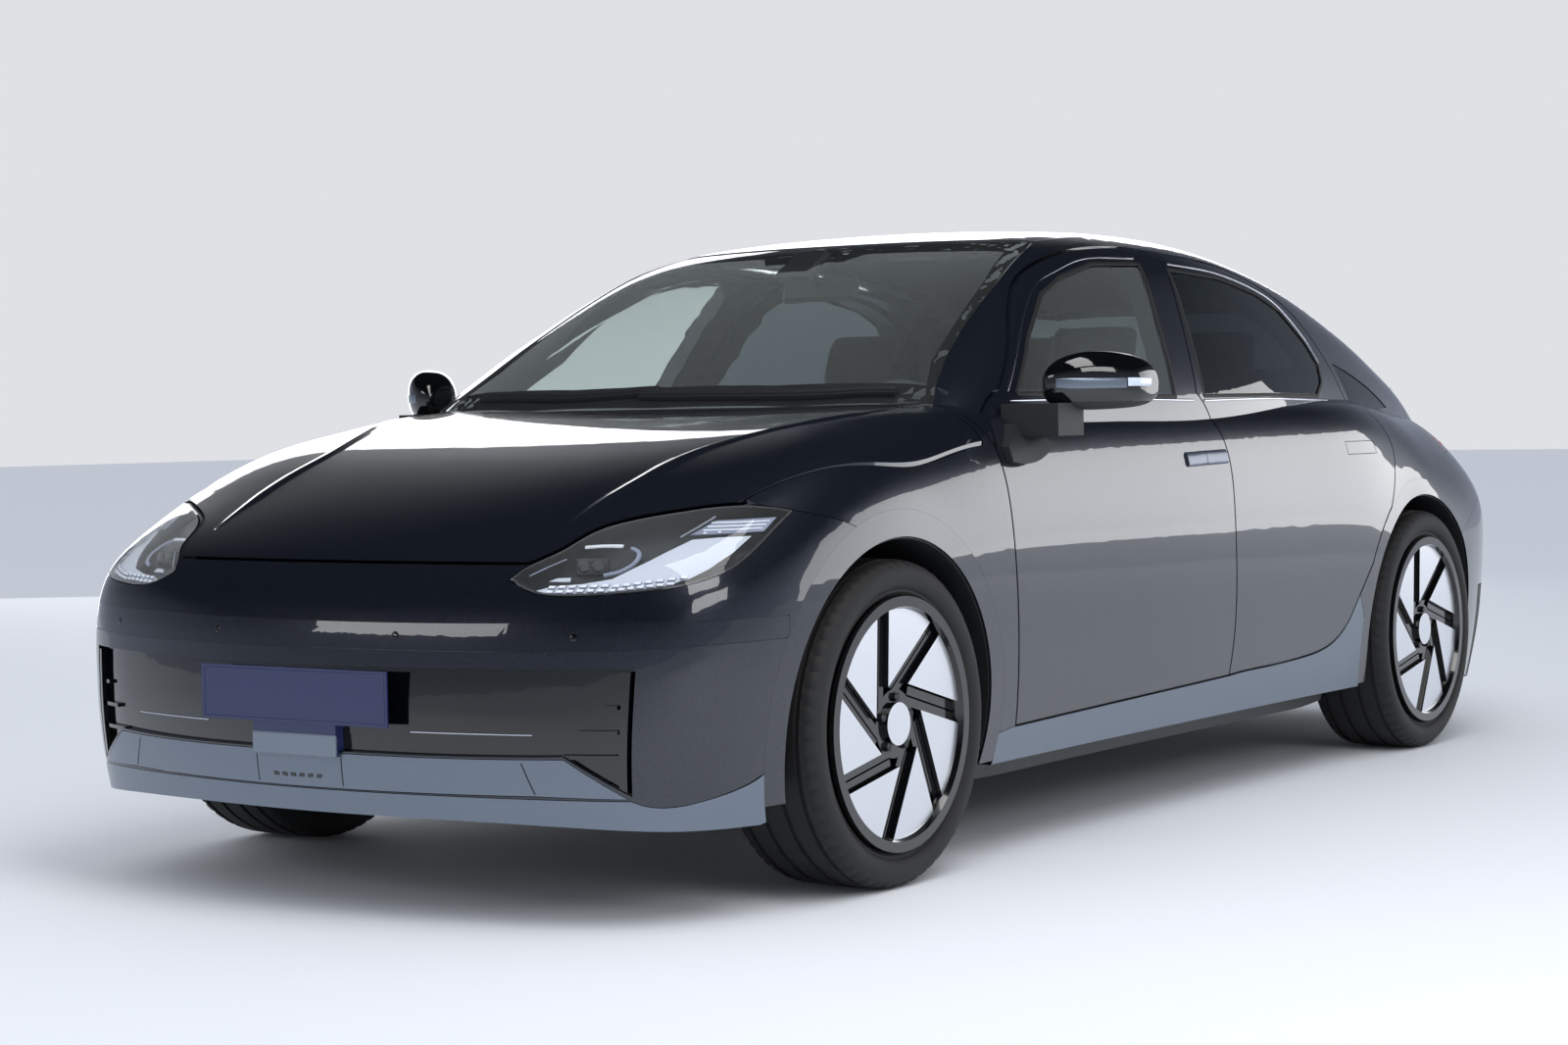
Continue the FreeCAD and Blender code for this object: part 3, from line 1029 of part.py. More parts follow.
def suspension(axle_y, motor_half_width, damper_top):
    """A subframe with a drive motor, and on each side two arms, a bracket and a damper."""
    frame = box((-SUBFRAME_HALF_WIDTH, axle_y - SUBFRAME_HALF_LENGTH, SUBFRAME_LOW_Z),
                (SUBFRAME_HALF_WIDTH, axle_y + SUBFRAME_HALF_LENGTH, SUBFRAME_LOW_Z + SUBFRAME_THICKNESS))
    motor = cylinder_x(-motor_half_width, motor_half_width, axle_y, AXLE_Z, MOTOR_RADIUS)
    pieces = [motor]
    pins = []
    bottom = AXLE_Z - ARM_HEIGHT - ARM_THICKNESS
    top = AXLE_Z + ARM_HEIGHT + ARM_THICKNESS
    for side in (-1, 1):
        near = side * ARM_INNER_X
        pin_place = Vec(side * KINGPIN_X, axle_y, bottom)
        for low, far in ((bottom, side * KINGPIN_X), (top - ARM_THICKNESS, side * KINGPIN_X),
                         (damper_top - ARM_THICKNESS, side * (DAMPER_X + DAMPER_RADIUS))):
            pieces.append(box((min(near, far), axle_y - ARM_HALF_WIDTH, low),
                              (max(near, far), axle_y + ARM_HALF_WIDTH, low + ARM_THICKNESS)))
        for low in (bottom, top - ARM_THICKNESS):
            pieces.append(Part.makeCylinder(ARM_HALF_WIDTH, ARM_THICKNESS, Vec(pin_place.x, axle_y, low)))
        pieces.append(Part.makeCylinder(DAMPER_RADIUS, damper_top - bottom, Vec(side * DAMPER_X, axle_y, bottom)))
        pieces.append(box((min(near, near + side * ARM_THICKNESS), axle_y - ARM_HALF_WIDTH, bottom),
                          (max(near, near + side * ARM_THICKNESS), axle_y + ARM_HALF_WIDTH, damper_top)))
        pins.append(Part.makeCylinder(PIN_RADIUS + SEAT_GAP, top - bottom, pin_place))
    return frame.fuse(pieces).cut(pins)


FLOOR_TOP_Z = 300.0
FLOOR_FRONT_Y = -1085.0
FLOOR_REAR_Y = 960.0
PAN_THICKNESS = 12.0
PAN_HALF_WIDTH = 470.0
PAN_LOW_Z = 216.0


def underbody():
    """The battery slab under the cabin floor, with flat pans running on to both ends."""
    inner = body_form(WALL_DEPTH + SEAT_GAP)
    slab = box((-HALF_WIDTH, FLOOR_FRONT_Y, GROUND_CLEARANCE), (HALF_WIDTH, FLOOR_REAR_Y, FLOOR_TOP_Z)).common(inner)
    pans = box((-PAN_HALF_WIDTH, -HALF_LENGTH, PAN_LOW_Z), (PAN_HALF_WIDTH, HALF_LENGTH, PAN_LOW_Z + PAN_THICKNESS))
    middle = box((-PAN_HALF_WIDTH, FRONT_AXLE_Y - ARCH_RADIUS, 0), (PAN_HALF_WIDTH, REAR_AXLE_Y + ARCH_RADIUS, HEIGHT))
    front = box((-HALF_WIDTH, -HALF_LENGTH, 0), (HALF_WIDTH, 0, HEIGHT)).common(body_form(LIP_DEPTH_BACK + SEAT_GAP))
    rear = box((-HALF_WIDTH, 0, 0), (HALF_WIDTH, HALF_LENGTH, HEIGHT)).common(body_form(APRON_BACK + SEAT_GAP))
    pans = pans.common(middle.fuse([front, rear]))
    reach = SUBFRAME_HALF_LENGTH + SEAT_GAP
    rooms = [box((-HALF_WIDTH, axle_y - reach, 0), (HALF_WIDTH, axle_y + reach, AXLE_Z))
             for axle_y in (FRONT_AXLE_Y, REAR_AXLE_Y)]
    return slab.fuse(pans).cut(rooms)


def softened(shape, radius):
    return shape.makeFillet(radius, shape.Edges)


SEAT_X = 370.0
SEAT_HALF_WIDTH = 255.0
SEAT_ROUND = 34.0
CUSHION_FRONT_Y = -420.0
CUSHION_REAR_Y = 110.0
CUSHION_LOW_Z = 400.0
CUSHION_TOP_Z = 545.0
BACK_LENGTH = 620.0
BACK_THICKNESS = 130.0
BACK_LEAN_DEGREES = 22.0
HEADREST_HEIGHT = 180.0
HEADREST_THICKNESS = 90.0
HEADREST_HALF_WIDTH = 130.0
HEADREST_GAP = 30.0
SEAT_BASE_HALF = 190.0
POST_RADIUS = 7.0


def seat(centre_x, half_width, front_y, rear_y, headrest_places):
    """A padded seat: cushion, leaning backrest and headrests on their posts."""
    cushion = softened(box((centre_x - half_width, front_y, CUSHION_LOW_Z),
                           (centre_x + half_width, rear_y, CUSHION_TOP_Z)), SEAT_ROUND)
    hinge = Vec(centre_x, rear_y - BACK_THICKNESS / 2, CUSHION_TOP_Z - SEAT_ROUND)
    back = softened(box((centre_x - half_width, hinge.y, hinge.z),
                        (centre_x + half_width, hinge.y + BACK_THICKNESS, hinge.z + BACK_LENGTH)), SEAT_ROUND)
    pieces = [back]
    top = hinge.z + BACK_LENGTH
    for place in headrest_places:
        head = box((centre_x + place - HEADREST_HALF_WIDTH, hinge.y + SEAT_ROUND / 2, top + HEADREST_GAP),
                   (centre_x + place + HEADREST_HALF_WIDTH, hinge.y + SEAT_ROUND / 2 + HEADREST_THICKNESS,
                    top + HEADREST_GAP + HEADREST_HEIGHT))
        pieces.append(softened(head, SEAT_ROUND))
        for side in (-1, 1):
            pieces.append(Part.makeCylinder(POST_RADIUS, HEADREST_GAP + 2 * SEAT_ROUND,
                                            Vec(centre_x + place + side * HEADREST_HALF_WIDTH / 2,
                                                hinge.y + BACK_THICKNESS / 2, top - SEAT_ROUND)))
    leaning = back.fuse(pieces[1:])
    leaning.rotate(hinge, Vec(1, 0, 0), -BACK_LEAN_DEGREES)
    return cushion.fuse(leaning)


def front_seats():
    one = seat(SEAT_X, SEAT_HALF_WIDTH, CUSHION_FRONT_Y, CUSHION_REAR_Y, [0.0])
    base = box((SEAT_X - SEAT_BASE_HALF, CUSHION_FRONT_Y + SEAT_ROUND * 2, FLOOR_TOP_Z),
               (SEAT_X + SEAT_BASE_HALF, CUSHION_REAR_Y - SEAT_ROUND * 2, CUSHION_LOW_Z + SEAT_ROUND))
    return both_sides(one.fuse(base))


REAR_SEAT_HALF_WIDTH = 610.0
REAR_CUSHION_FRONT_Y = 490.0
REAR_CUSHION_REAR_Y = 950.0
REAR_HEADREST_X = 335.0


def rear_seat():
    bench = seat(0.0, REAR_SEAT_HALF_WIDTH, REAR_CUSHION_FRONT_Y, REAR_CUSHION_REAR_Y,
                 [-REAR_HEADREST_X, REAR_HEADREST_X])
    base = box((-REAR_SEAT_HALF_WIDTH + SEAT_ROUND, REAR_CUSHION_FRONT_Y + SEAT_ROUND, FLOOR_TOP_Z),
               (REAR_SEAT_HALF_WIDTH - SEAT_ROUND, FLOOR_REAR_Y - SEAT_GAP, CUSHION_LOW_Z + SEAT_ROUND))
    return bench.fuse(base)


DASH_SHARES = [(-0.474, 0.42), (-0.474, 0.668), (-0.430, 0.682), (-0.335, 0.672), (-0.322, 0.640),
               (-0.345, 0.560), (-0.380, 0.470), (-0.400, 0.42)]
CONSOLE_HALF_WIDTH = 92.0
CONSOLE_TOP_Z = 560.0
CONSOLE_REAR_Y = 60.0


def dashboard():
    """The dashboard across the cabin and the console between the front seats."""
    points = [Vec(-HALF_WIDTH, along(a), up(b)) for a, b in DASH_SHARES]
    body = Part.Face(Part.makePolygon(points + [points[0]])).extrude(Vec(WIDTH, 0, 0))
    console = box((-CONSOLE_HALF_WIDTH, along(DASH_SHARES[0][0]), FLOOR_TOP_Z),
                  (CONSOLE_HALF_WIDTH, CONSOLE_REAR_Y, CONSOLE_TOP_Z))
    stack = box((-CONSOLE_HALF_WIDTH, along(DASH_SHARES[0][0]), FLOOR_TOP_Z),
                (CONSOLE_HALF_WIDTH, along(DASH_SHARES[-1][0]), up(DASH_SHARES[1][1]) - CONSOLE_HALF_WIDTH))
    outer = form(TRIM_DEPTH + PANEL_GAP)
    column = Part.makeCylinder(COLUMN_RADIUS, COLUMN_LENGTH, Vec(0, 0, -BOSS_DEPTH - SEAT_GAP - COLUMN_LENGTH))
    return body.fuse([console, stack, on_column(column)]).common(outer)


WHEEL_CENTRE = (SEAT_X, -560.0, 915.0)
WHEEL_RADIUS = 182.0
WHEEL_GRIP = 15.0
WHEEL_LEAN_DEGREES = 24.0
BOSS_RADIUS = 62.0
BOSS_DEPTH = 60.0
SPOKE_THICKNESS = 16.0
COLUMN_RADIUS = 42.0
COLUMN_LENGTH = 290.0


def on_column(shape):
    """Moves a shape from its own axis to the axis of the steering column."""
    shape.rotate(Vec(0, 0, 0), Vec(1, 0, 0), WHEEL_LEAN_DEGREES - 90)
    shape.translate(Vec(*WHEEL_CENTRE))
    return shape


def steering_wheel():
    """The steering wheel, square to its leaning column."""
    grip = Part.makeTorus(WHEEL_RADIUS, WHEEL_GRIP)
    boss = Part.makeCylinder(BOSS_RADIUS, BOSS_DEPTH, Vec(0, 0, -BOSS_DEPTH))
    spoke = Part.makeBox(2 * WHEEL_RADIUS, 2 * WHEEL_GRIP, SPOKE_THICKNESS,
                         Vec(-WHEEL_RADIUS, -WHEEL_GRIP, -SPOKE_THICKNESS / 2))
    lower = Part.makeBox(2 * WHEEL_GRIP, WHEEL_RADIUS, SPOKE_THICKNESS,
                         Vec(-WHEEL_GRIP, 0, -SPOKE_THICKNESS / 2))
    return on_column(grip.fuse([boss, spoke, lower]))


# Each door mirror: stations from its inner to its outer end, with the place of the middle of
# the housing along the car and up, and its half depth and half height.
MIRROR_STATION_SHARES = [(0.984, -0.3560, 0.7150, 0.0150, 0.0160), (1.000, -0.3520, 0.7190, 0.0265, 0.0330),
                         (1.060, -0.3390, 0.7240, 0.0350, 0.0450), (1.120, -0.3190, 0.7240, 0.0340, 0.0435),
                         (1.165, -0.3010, 0.7200, 0.0260, 0.0330), (1.180, -0.2930, 0.7170, 0.0120, 0.0150)]
MIRROR_FOOT_SHARES = [[(-0.4280, 0.602), (-0.3711, 0.6047), (-0.3374, 0.6281)],
                      [(-0.3374, 0.6281), (-0.3703, 0.6468), (-0.4000, 0.6600)],
                      [(-0.4000, 0.6600), (-0.4280, 0.6250)],
                      [(-0.4280, 0.6250), (-0.4280, 0.602)]]
MIRROR_FOOT_DEPTH = 16.0
MIRROR_ROUND_POWER = 2.6
MIRROR_POINTS = 16
MIRROR_ARM_SHARES = [(-0.395, -0.345), (0.640, 0.690)]
MIRROR_ARM_REACH_SHARE = 1.06


def rounded_section(x, centre_y, centre_z, half_y, half_z):
    points = []
    for i in range(MIRROR_POINTS):
        angle = 2 * math.pi * i / MIRROR_POINTS
        c = math.cos(angle)
        s = math.sin(angle)
        points.append(Vec(x, centre_y + half_y * math.copysign(abs(c) ** (2 / MIRROR_ROUND_POWER), c),
                          centre_z + half_z * math.copysign(abs(s) ** (2 / MIRROR_ROUND_POWER), s)))
    curve = Part.BSplineCurve()
    curve.interpolate(points, PeriodicFlag=True)
    return Part.Wire(curve.toShape())


def door_mirror():
    """The left door mirror: a rounded housing over a flat arm, on a foot that lies on the door."""
    sections = [rounded_section(across(a), along(b), up(c), along(d), up(e))
                for a, b, c, d, e in MIRROR_STATION_SHARES]
    housing = Part.makeLoft(sections, True)
    foot = layer(side_prism(side_points(MIRROR_FOOT_SHARES), 0), -MIRROR_FOOT_DEPTH, -SEAT_GAP, body_form)
    (arm_front, arm_rear), (arm_low, arm_high) = MIRROR_ARM_SHARES
    arm = box((across(0.9), along(arm_front), up(arm_low)),
              (across(MIRROR_ARM_REACH_SHARE), along(arm_rear), up(arm_high)))
    arm = arm.cut([body_form(-SEAT_GAP), cabin_form(-SEAT_GAP)])
    return housing.fuse([foot, arm])


PLATE_WIDTH = 520.0
PLATE_HEIGHT = 114.0
PLATE_THICKNESS = 4.0
PLATE_MIDDLE_SHARE = 0.3035
HOLDER_WIDTH = 230.0
HOLDER_HEIGHT = 66.0
HOLDER_THICKNESS = 6.0


def number_plate():
    """The blank front plate on its carrier, with the small holder below it."""
    nose_y = nose_line(up(PLATE_MIDDLE_SHARE)) - BODY_SOFTNESS * HOLDER_SET_SHARE
    half = PLATE_WIDTH / 2
    middle = up(PLATE_MIDDLE_SHARE)
    plate = box((-half, nose_y - PLATE_THICKNESS, middle - PLATE_HEIGHT / 2),
                (half, nose_y, middle + PLATE_HEIGHT / 2))
    low = middle - PLATE_HEIGHT / 2 - HOLDER_HEIGHT
    carrier = box((-HOLDER_WIDTH / 2, nose_y, low), (HOLDER_WIDTH / 2, nose_y + FRONT_OVERHANG / 2, middle))
    sunk = outside(carrier, GRILLE_SET - SEAT_GAP, body_form)
    sunk = sunk.common(box((-half, NOSE_START_Y, up(GRILLE_SHARES[0][0][1]) + SEAT_GAP), (half, 0, HEIGHT)))
    return plate.fuse([sunk, outside(carrier, -SEAT_GAP, body_form)])


HOLDER_SET_SHARE = 0.1

TUB_SET = 40.0
TUB_THICKNESS = 6.0
TUB_LOW_SHARE = 0.480
LEDGE_LOW_SHARE = 0.512
LEDGE_THICKNESS = 6.0


def front_tub():
    """The moulded cover under the hood, on a ledge that reaches the fenders and the nose."""
    zone = plan_prism(HOOD, CUT_OVERRUN, TUB_LOW_SHARE)
    zone = zone.common(box((-HALF_WIDTH, NOSE_START_Y, 0),
                           (HALF_WIDTH, along(WALL_ZONE_SHARES[0][0][0]) - SEAT_GAP, HEIGHT)))
    cover = layer(zone, TUB_SET, TUB_SET + TUB_THICKNESS, body_form)
    low = up(LEDGE_LOW_SHARE)
    slab = box((-HALF_WIDTH, NOSE_START_Y, low),
               (HALF_WIDTH, along(WALL_ZONE_SHARES[0][0][0]) - SEAT_GAP, low + LEDGE_THICKNESS))
    ledge = layer(slab, LAMP_DEPTH + SEAT_GAP, LAMP_DEPTH + TUB_SET, body_form)
    side = layer(slab.cut(box((-HALF_WIDTH, NOSE_START_Y, 0), (HALF_WIDTH, along(LAMP_REAR_SHARE), HEIGHT))),
                 SKIN + SEAT_GAP, LAMP_DEPTH + TUB_SET, body_form)
    stops = []
    for a, b in BUMP_STOP_SHARES:
        for x in (-across(a), across(a)):
            stop = Part.makeCylinder(BUMP_STOP_RADIUS, HEIGHT, Vec(x, along(b), low))
            stops.append(stop.common(body_form(HOOD_DEPTH + SEAT_GAP)))
    ring = outside(arch_bore(FRONT_AXLE_Y, FRONT_RING_RADIUS + SEAT_GAP), RING_DEPTH + SEAT_GAP, body_form)
    lamp = outside(lamp_prism(LAMP_FLANGE + SEAT_GAP), LAMP_DEPTH + SEAT_GAP, body_form)
    well = arch_bore(FRONT_AXLE_Y, ARCH_RADIUS)
    rooms = [ring, mirrored(ring), lamp, mirrored(lamp), well, mirrored(well)]
    return largest(cover.fuse([ledge, side] + stops).cut(rooms))


LAMP_REAR_SHARE = -0.74
BUMP_STOP_SHARES = [(0.50, -0.880), (0.72, -0.560)]
BUMP_STOP_RADIUS = 14.0
COWL_SHARES = [(-0.80, -0.505), (0.80, -0.425)]
COWL_LOW_SHARE = 0.6


def cowl_zone(grow):
    (left, front), (right, rear) = COWL_SHARES
    return box((across(left) - grow, along(front), up(COWL_LOW_SHARE)), (across(right) + grow, along(rear), HEIGHT))


def cowl():
    """The black cowl between the hood and the windshield."""
    panel = layer(cowl_zone(0.0), HOOD_DEPTH + PANEL_GAP, TUB_SET - SEAT_GAP, body_form)
    return largest(panel.cut(cabin_form(GLASS_SET - SEAT_GAP)))


TUB_HALF_WIDTH = 470.0
TUB_FRONT_Y = 1240.0
TUB_FLOOR_Z = 600.0
TUB_TOP_SHARE = 0.585
TUB_WALL = 8.0
SILL_DROP = 12.0


def boot_room(gap, top):
    """The boot's room: narrow between the rear wheels and as wide as the body behind them."""
    behind = REAR_AXLE_Y + ARCH_RADIUS + PANEL_GAP
    narrow = box((-TUB_HALF_WIDTH + gap, TUB_FRONT_Y + gap, TUB_FLOOR_Z + gap), (TUB_HALF_WIDTH - gap, HALF_LENGTH, top))
    broad = box((-HALF_WIDTH, behind + gap, TUB_FLOOR_Z + gap), (HALF_WIDTH, HALF_LENGTH, top))
    return narrow.fuse(broad).common(body_form(WALL_DEPTH + SEAT_GAP + gap))


def boot_tub():
    """The boot's lining, an open tub with a sill that reaches the rear bumper."""
    top = up(TUB_TOP_SHARE)
    walls = boot_room(0.0, top).cut(boot_room(TUB_WALL, top + TUB_WALL))
    low = up(BOOT_BOTTOM_SHARE) - PANEL_GAP - SILL_DROP
    slab = box((-across(BOOT_SHARES[1][-1][0]) + PANEL_GAP, REAR_AXLE_Y + ARCH_RADIUS, low - TUB_WALL),
               (across(BOOT_SHARES[1][-1][0]) - PANEL_GAP, HALF_LENGTH, low))
    sill = layer(slab, SKIN + SEAT_GAP, WALL_DEPTH + TUB_WALL, body_form)
    return largest(walls.fuse(sill))


def build():
    os.makedirs("parts", exist_ok=True)
    nodes = {}
    left_wall = body_side()
    nodes["body_side_left"] = left_wall
    nodes["body_side_right"] = mirrored(left_wall)
    quarter = quarter_glass()
    nodes["quarter_glass"] = both_sides(quarter)
    nodes["roof_panel"] = roof_panel()
    nodes["windshield"] = windshield()
    nodes["rear_window"] = rear_glass()
    nodes["front_fenders"] = fenders()
    nodes["front_bumper"] = front_bumper()
    band, tray, apron, lip = front_trims()
    nodes["sensor_band"] = band
    nodes["lower_grille"] = tray
    nodes["front_apron"] = apron
    nodes["front_lip"] = lip
    nodes["number_plate"] = number_plate()
    lenses, lamps = headlamps()
    nodes["headlamp_lenses"] = lenses
    nodes["headlamps"] = lamps
    nodes["rear_bumper"] = rear_bumper()
    nodes["rear_apron"] = rear_apron()
    lid_lamp, side_lamps = tail_lamps()
    nodes["tail_lamp_lid"] = lid_lamp
    nodes["tail_lamps"] = side_lamps
    nodes["side_skirts"] = side_skirts()
    nodes["arch_rings"] = arch_rings()
    nodes["wheel_liners"] = wheel_liners()
    nodes["hood"] = hood()
    nodes["boot_lid"] = boot_lid()
    nodes["cowl"] = cowl()
    nodes["front_tub"] = front_tub()
    nodes["boot_tub"] = boot_tub()
    nodes["underbody"] = underbody()
    nodes["dashboard"] = dashboard()
    nodes["front_seats"] = front_seats()
    nodes["rear_seat"] = rear_seat()
    nodes["steering_wheel"] = steering_wheel()
    for place, outline, window in (("front", FRONT_DOOR, FRONT_WINDOW), ("rear", REAR_DOOR, REAR_WINDOW)):
        left = door(outline, window)
        if place == "rear":
            left = left.cut(arch_bore(REAR_AXLE_Y, REAR_RING_RADIUS + PANEL_GAP))
        glass = door_glass(window)
        nodes[place + "_door_left"] = left
        nodes[place + "_door_right"] = mirrored(left)
        nodes[place + "_glass_left"] = glass
        nodes[place + "_glass_right"] = mirrored(glass)
    mirror = door_mirror()
    nodes["mirror_left"] = mirror
    nodes["mirror_right"] = mirrored(mirror)
    nodes["front_suspension"] = suspension(FRONT_AXLE_Y, MOTOR_LENGTH / 2, FRONT_DAMPER_TOP_Z)
    nodes["rear_suspension"] = suspension(REAR_AXLE_Y, MOTOR_LENGTH / 2, REAR_DAMPER_TOP_Z)
    front_upright = knuckle(TRACK_FRONT / 2, FRONT_AXLE_Y, 1)
    nodes["front_knuckle_left"] = front_upright
    nodes["front_knuckle_right"] = mirrored(front_upright)
    nodes["rear_knuckles"] = both_sides(knuckle(TRACK_REAR / 2, REAR_AXLE_Y, -1))
    for place, track, axle_y in (("front", TRACK_FRONT, FRONT_AXLE_Y), ("rear", TRACK_REAR, REAR_AXLE_Y)):
        rubber = tyre(track / 2, axle_y)
        metal = rim(track / 2, axle_y).fuse(blades(track / 2, axle_y))
        nodes[place + "_tyre_left"] = rubber
        nodes[place + "_tyre_right"] = mirrored(rubber)
        nodes[place + "_rim_left"] = metal
        nodes[place + "_rim_right"] = mirrored(metal)
    for name, shape in nodes.items():
        shape.exportStep("parts/" + name + ".step")


if __name__ == "__main__":
    build()
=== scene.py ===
import bpy
import bmesh
import math
from mathutils import Matrix, Vector
from mathutils.bvhtree import BVHTree
from mathutils.geometry import delaunay_2d_cdt


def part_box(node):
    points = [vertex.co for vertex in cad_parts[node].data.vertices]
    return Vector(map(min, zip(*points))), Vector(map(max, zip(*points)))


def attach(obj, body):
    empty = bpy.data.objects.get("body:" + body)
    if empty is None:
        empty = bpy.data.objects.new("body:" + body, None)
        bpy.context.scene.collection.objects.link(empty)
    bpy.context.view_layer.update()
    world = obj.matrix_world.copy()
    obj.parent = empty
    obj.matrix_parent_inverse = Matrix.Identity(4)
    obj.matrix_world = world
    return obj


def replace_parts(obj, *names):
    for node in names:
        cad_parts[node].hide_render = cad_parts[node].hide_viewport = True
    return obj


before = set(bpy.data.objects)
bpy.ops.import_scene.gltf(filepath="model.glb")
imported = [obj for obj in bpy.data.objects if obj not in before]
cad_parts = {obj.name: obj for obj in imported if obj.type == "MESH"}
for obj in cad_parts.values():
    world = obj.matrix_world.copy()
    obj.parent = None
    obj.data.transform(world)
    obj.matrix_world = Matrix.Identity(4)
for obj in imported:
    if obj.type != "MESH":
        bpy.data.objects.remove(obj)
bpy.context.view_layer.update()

# Camera
# The photograph's own view: a little above the front bumper, from the car's
# left front corner, with a normal lens.
CAMERA_PLACE = Vector((4.1834, -6.7657, 1.0056))
CAMERA_AZIMUTH = math.radians(34.20)
CAMERA_ELEVATION = math.radians(2.05)
CAMERA_ROLL = math.radians(-0.92)
FOCAL_PIXELS = 2954.25
IMAGE_WIDTH = 1600
SENSOR_WIDTH = 36.0

lens = bpy.data.cameras.new("photo_camera")
lens.sensor_width = SENSOR_WIDTH
lens.lens = FOCAL_PIXELS / IMAGE_WIDTH * SENSOR_WIDTH
lens.clip_end = 100.0
camera = bpy.data.objects.new("photo_camera", lens)
bpy.context.collection.objects.link(camera)
back = Vector((math.sin(CAMERA_AZIMUTH) * math.cos(CAMERA_ELEVATION),
               -math.cos(CAMERA_AZIMUTH) * math.cos(CAMERA_ELEVATION), math.sin(CAMERA_ELEVATION)))
level = Vector((math.cos(CAMERA_AZIMUTH), math.sin(CAMERA_AZIMUTH), 0.0))
upright = back.cross(level)
right = level * math.cos(CAMERA_ROLL) + upright * math.sin(CAMERA_ROLL)
above = upright * math.cos(CAMERA_ROLL) - level * math.sin(CAMERA_ROLL)
camera.matrix_world = Matrix(((right.x, above.x, back.x, CAMERA_PLACE.x),
                              (right.y, above.y, back.y, CAMERA_PLACE.y),
                              (right.z, above.z, back.z, CAMERA_PLACE.z),
                              (0.0, 0.0, 0.0, 1.0)))
bpy.context.scene.camera = camera
bpy.context.scene.view_settings.view_transform = "Standard"


# Studio
# A pale painted floor under a pale room, with large soft boxes over the car
# and at its sides, placed so that the flanks and the hood mirror them. The
# floor is matt, so that it keeps the car's shadow and shows no mirror image.
def linear(hex_colour):
    """The linear colour of an sRGB hex value."""
    values = [int(hex_colour[i:i + 2], 16) / 255 for i in (1, 3, 5)]
    return tuple(v / 12.92 if v <= 0.04045 else ((v + 0.055) / 1.055) ** 2.4 for v in values) + (1.0,)


def add(tree, kind, sockets, **settings):
    """Adds a node with its settings, and with values or links on its sockets."""
    node = tree.nodes.new(kind)
    for name, value in settings.items():
        setattr(node, name, value)
    for name, value in sockets.items():
        if isinstance(value, bpy.types.NodeSocket):
            tree.links.new(value, node.inputs[name])
        else:
            node.inputs[name].default_value = value
    return node


def shader_of(made):
    return made.node_tree.nodes["Principled BSDF"]


def material(name, colour=None, **values):
    """A material with its colour and its shader's own values set."""
    made = bpy.data.materials.new(name)
    made.use_nodes = True
    if colour:
        values["Base_Color"] = linear(colour)
    for socket, value in values.items():
        shader_of(made).inputs[socket.replace("_", " ")].default_value = value
    return made


def dress(made, *nodes):
    """Gives CAD nodes their material."""
    for name in nodes:
        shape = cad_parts[name]
        if not shape.material_slots:
            shape.data.materials.append(made)
        for place in shape.material_slots:
            place.material = made


def link(shape):
    bpy.context.collection.objects.link(shape)
    return shape


def soft_box(name, place, target, width, height, watts):
    """A lamp box that faces its target and stays out of sight behind glass."""
    lamp = bpy.data.lights.new(name, "AREA")
    lamp.shape = "RECTANGLE"
    lamp.size = width
    lamp.size_y = height
    lamp.energy = watts
    holder = link(bpy.data.objects.new(name, lamp))
    holder.location = place
    holder.rotation_euler = (Vector(target) - Vector(place)).to_track_quat("-Z", "Y").to_euler()
    holder.visible_transmission = False
    return holder


FLOOR_HALF = 60.0
FLOOR_COLOUR = "#D3D5D8"
ROOM_COLOUR = "#DFE1E5"
FILL_COLOUR = "#DDE2EC"
HORIZON_COLOUR = "#AEB6C8"
CEILING_COLOUR = "#14171D"
HORIZON_TOP = 0.42
FILL_LIGHT = 1.2
ROOM_LIGHT = 0.8
# Each box: its place, what it faces, its width and height in metres, its watts.
LIGHT_BOXES = {"soft_box_over": ((2.6, -2.2, 4.8), (0.6, -1.2, 0.4), 2.2, 4.6, 150),
               "soft_box_front": ((-3.0, -8.0, 3.4), (0.0, -1.5, 0.6), 4.0, 1.0, 45),
               "soft_box_left": ((7.0, -3.0, 3.6), (0.0, -0.6, 0.5), 4.0, 1.6, 90)}
MIRRORED_BOXES = {"soft_box_left_rear": ((6.4, 8.2, 2.1), (0.4, 0.6, 0.9), 8.5, 3.4, 230),
                  "soft_box_right_rear": ((-6.4, 7.0, 2.4), (-0.2, -1.0, 0.9), 9.0, 4.8, 340)}

floor_mesh = bpy.data.meshes.new("studio_floor")
corners = [(FLOOR_HALF * x, FLOOR_HALF * y, 0) for x, y in ((-1, -1), (1, -1), (1, 1), (-1, 1))]
floor_mesh.from_pydata(corners, [], [(0, 1, 2, 3)])
studio_floor = link(bpy.data.objects.new("studio_floor", floor_mesh))
floor_mesh.materials.append(material("painted_floor", FLOOR_COLOUR, Roughness=0.85))

world = bpy.data.worlds.new("studio_room")
world.use_nodes = True
bpy.context.scene.world = world
room = world.node_tree
room.nodes.clear()
seen = add(room, "ShaderNodeLightPath", {})
shown = add(room, "ShaderNodeMath", {0: seen.outputs["Is Camera Ray"],
                                     1: seen.outputs["Is Transmission Ray"]}, operation="MAXIMUM")
bearing = add(room, "ShaderNodeTexCoord", {})
height = add(room, "ShaderNodeSeparateXYZ", {"Vector": bearing.outputs["Generated"]})
wall = add(room, "ShaderNodeValToRGB", {"Fac": height.outputs["Z"]})
wall.color_ramp.elements[0].position = 0.0
wall.color_ramp.elements[0].color = linear(HORIZON_COLOUR)
wall.color_ramp.elements[1].position = HORIZON_TOP
wall.color_ramp.elements[1].color = linear(CEILING_COLOUR)
pale = add(room, "ShaderNodeBackground", {"Color": linear(ROOM_COLOUR), "Strength": 1.0})
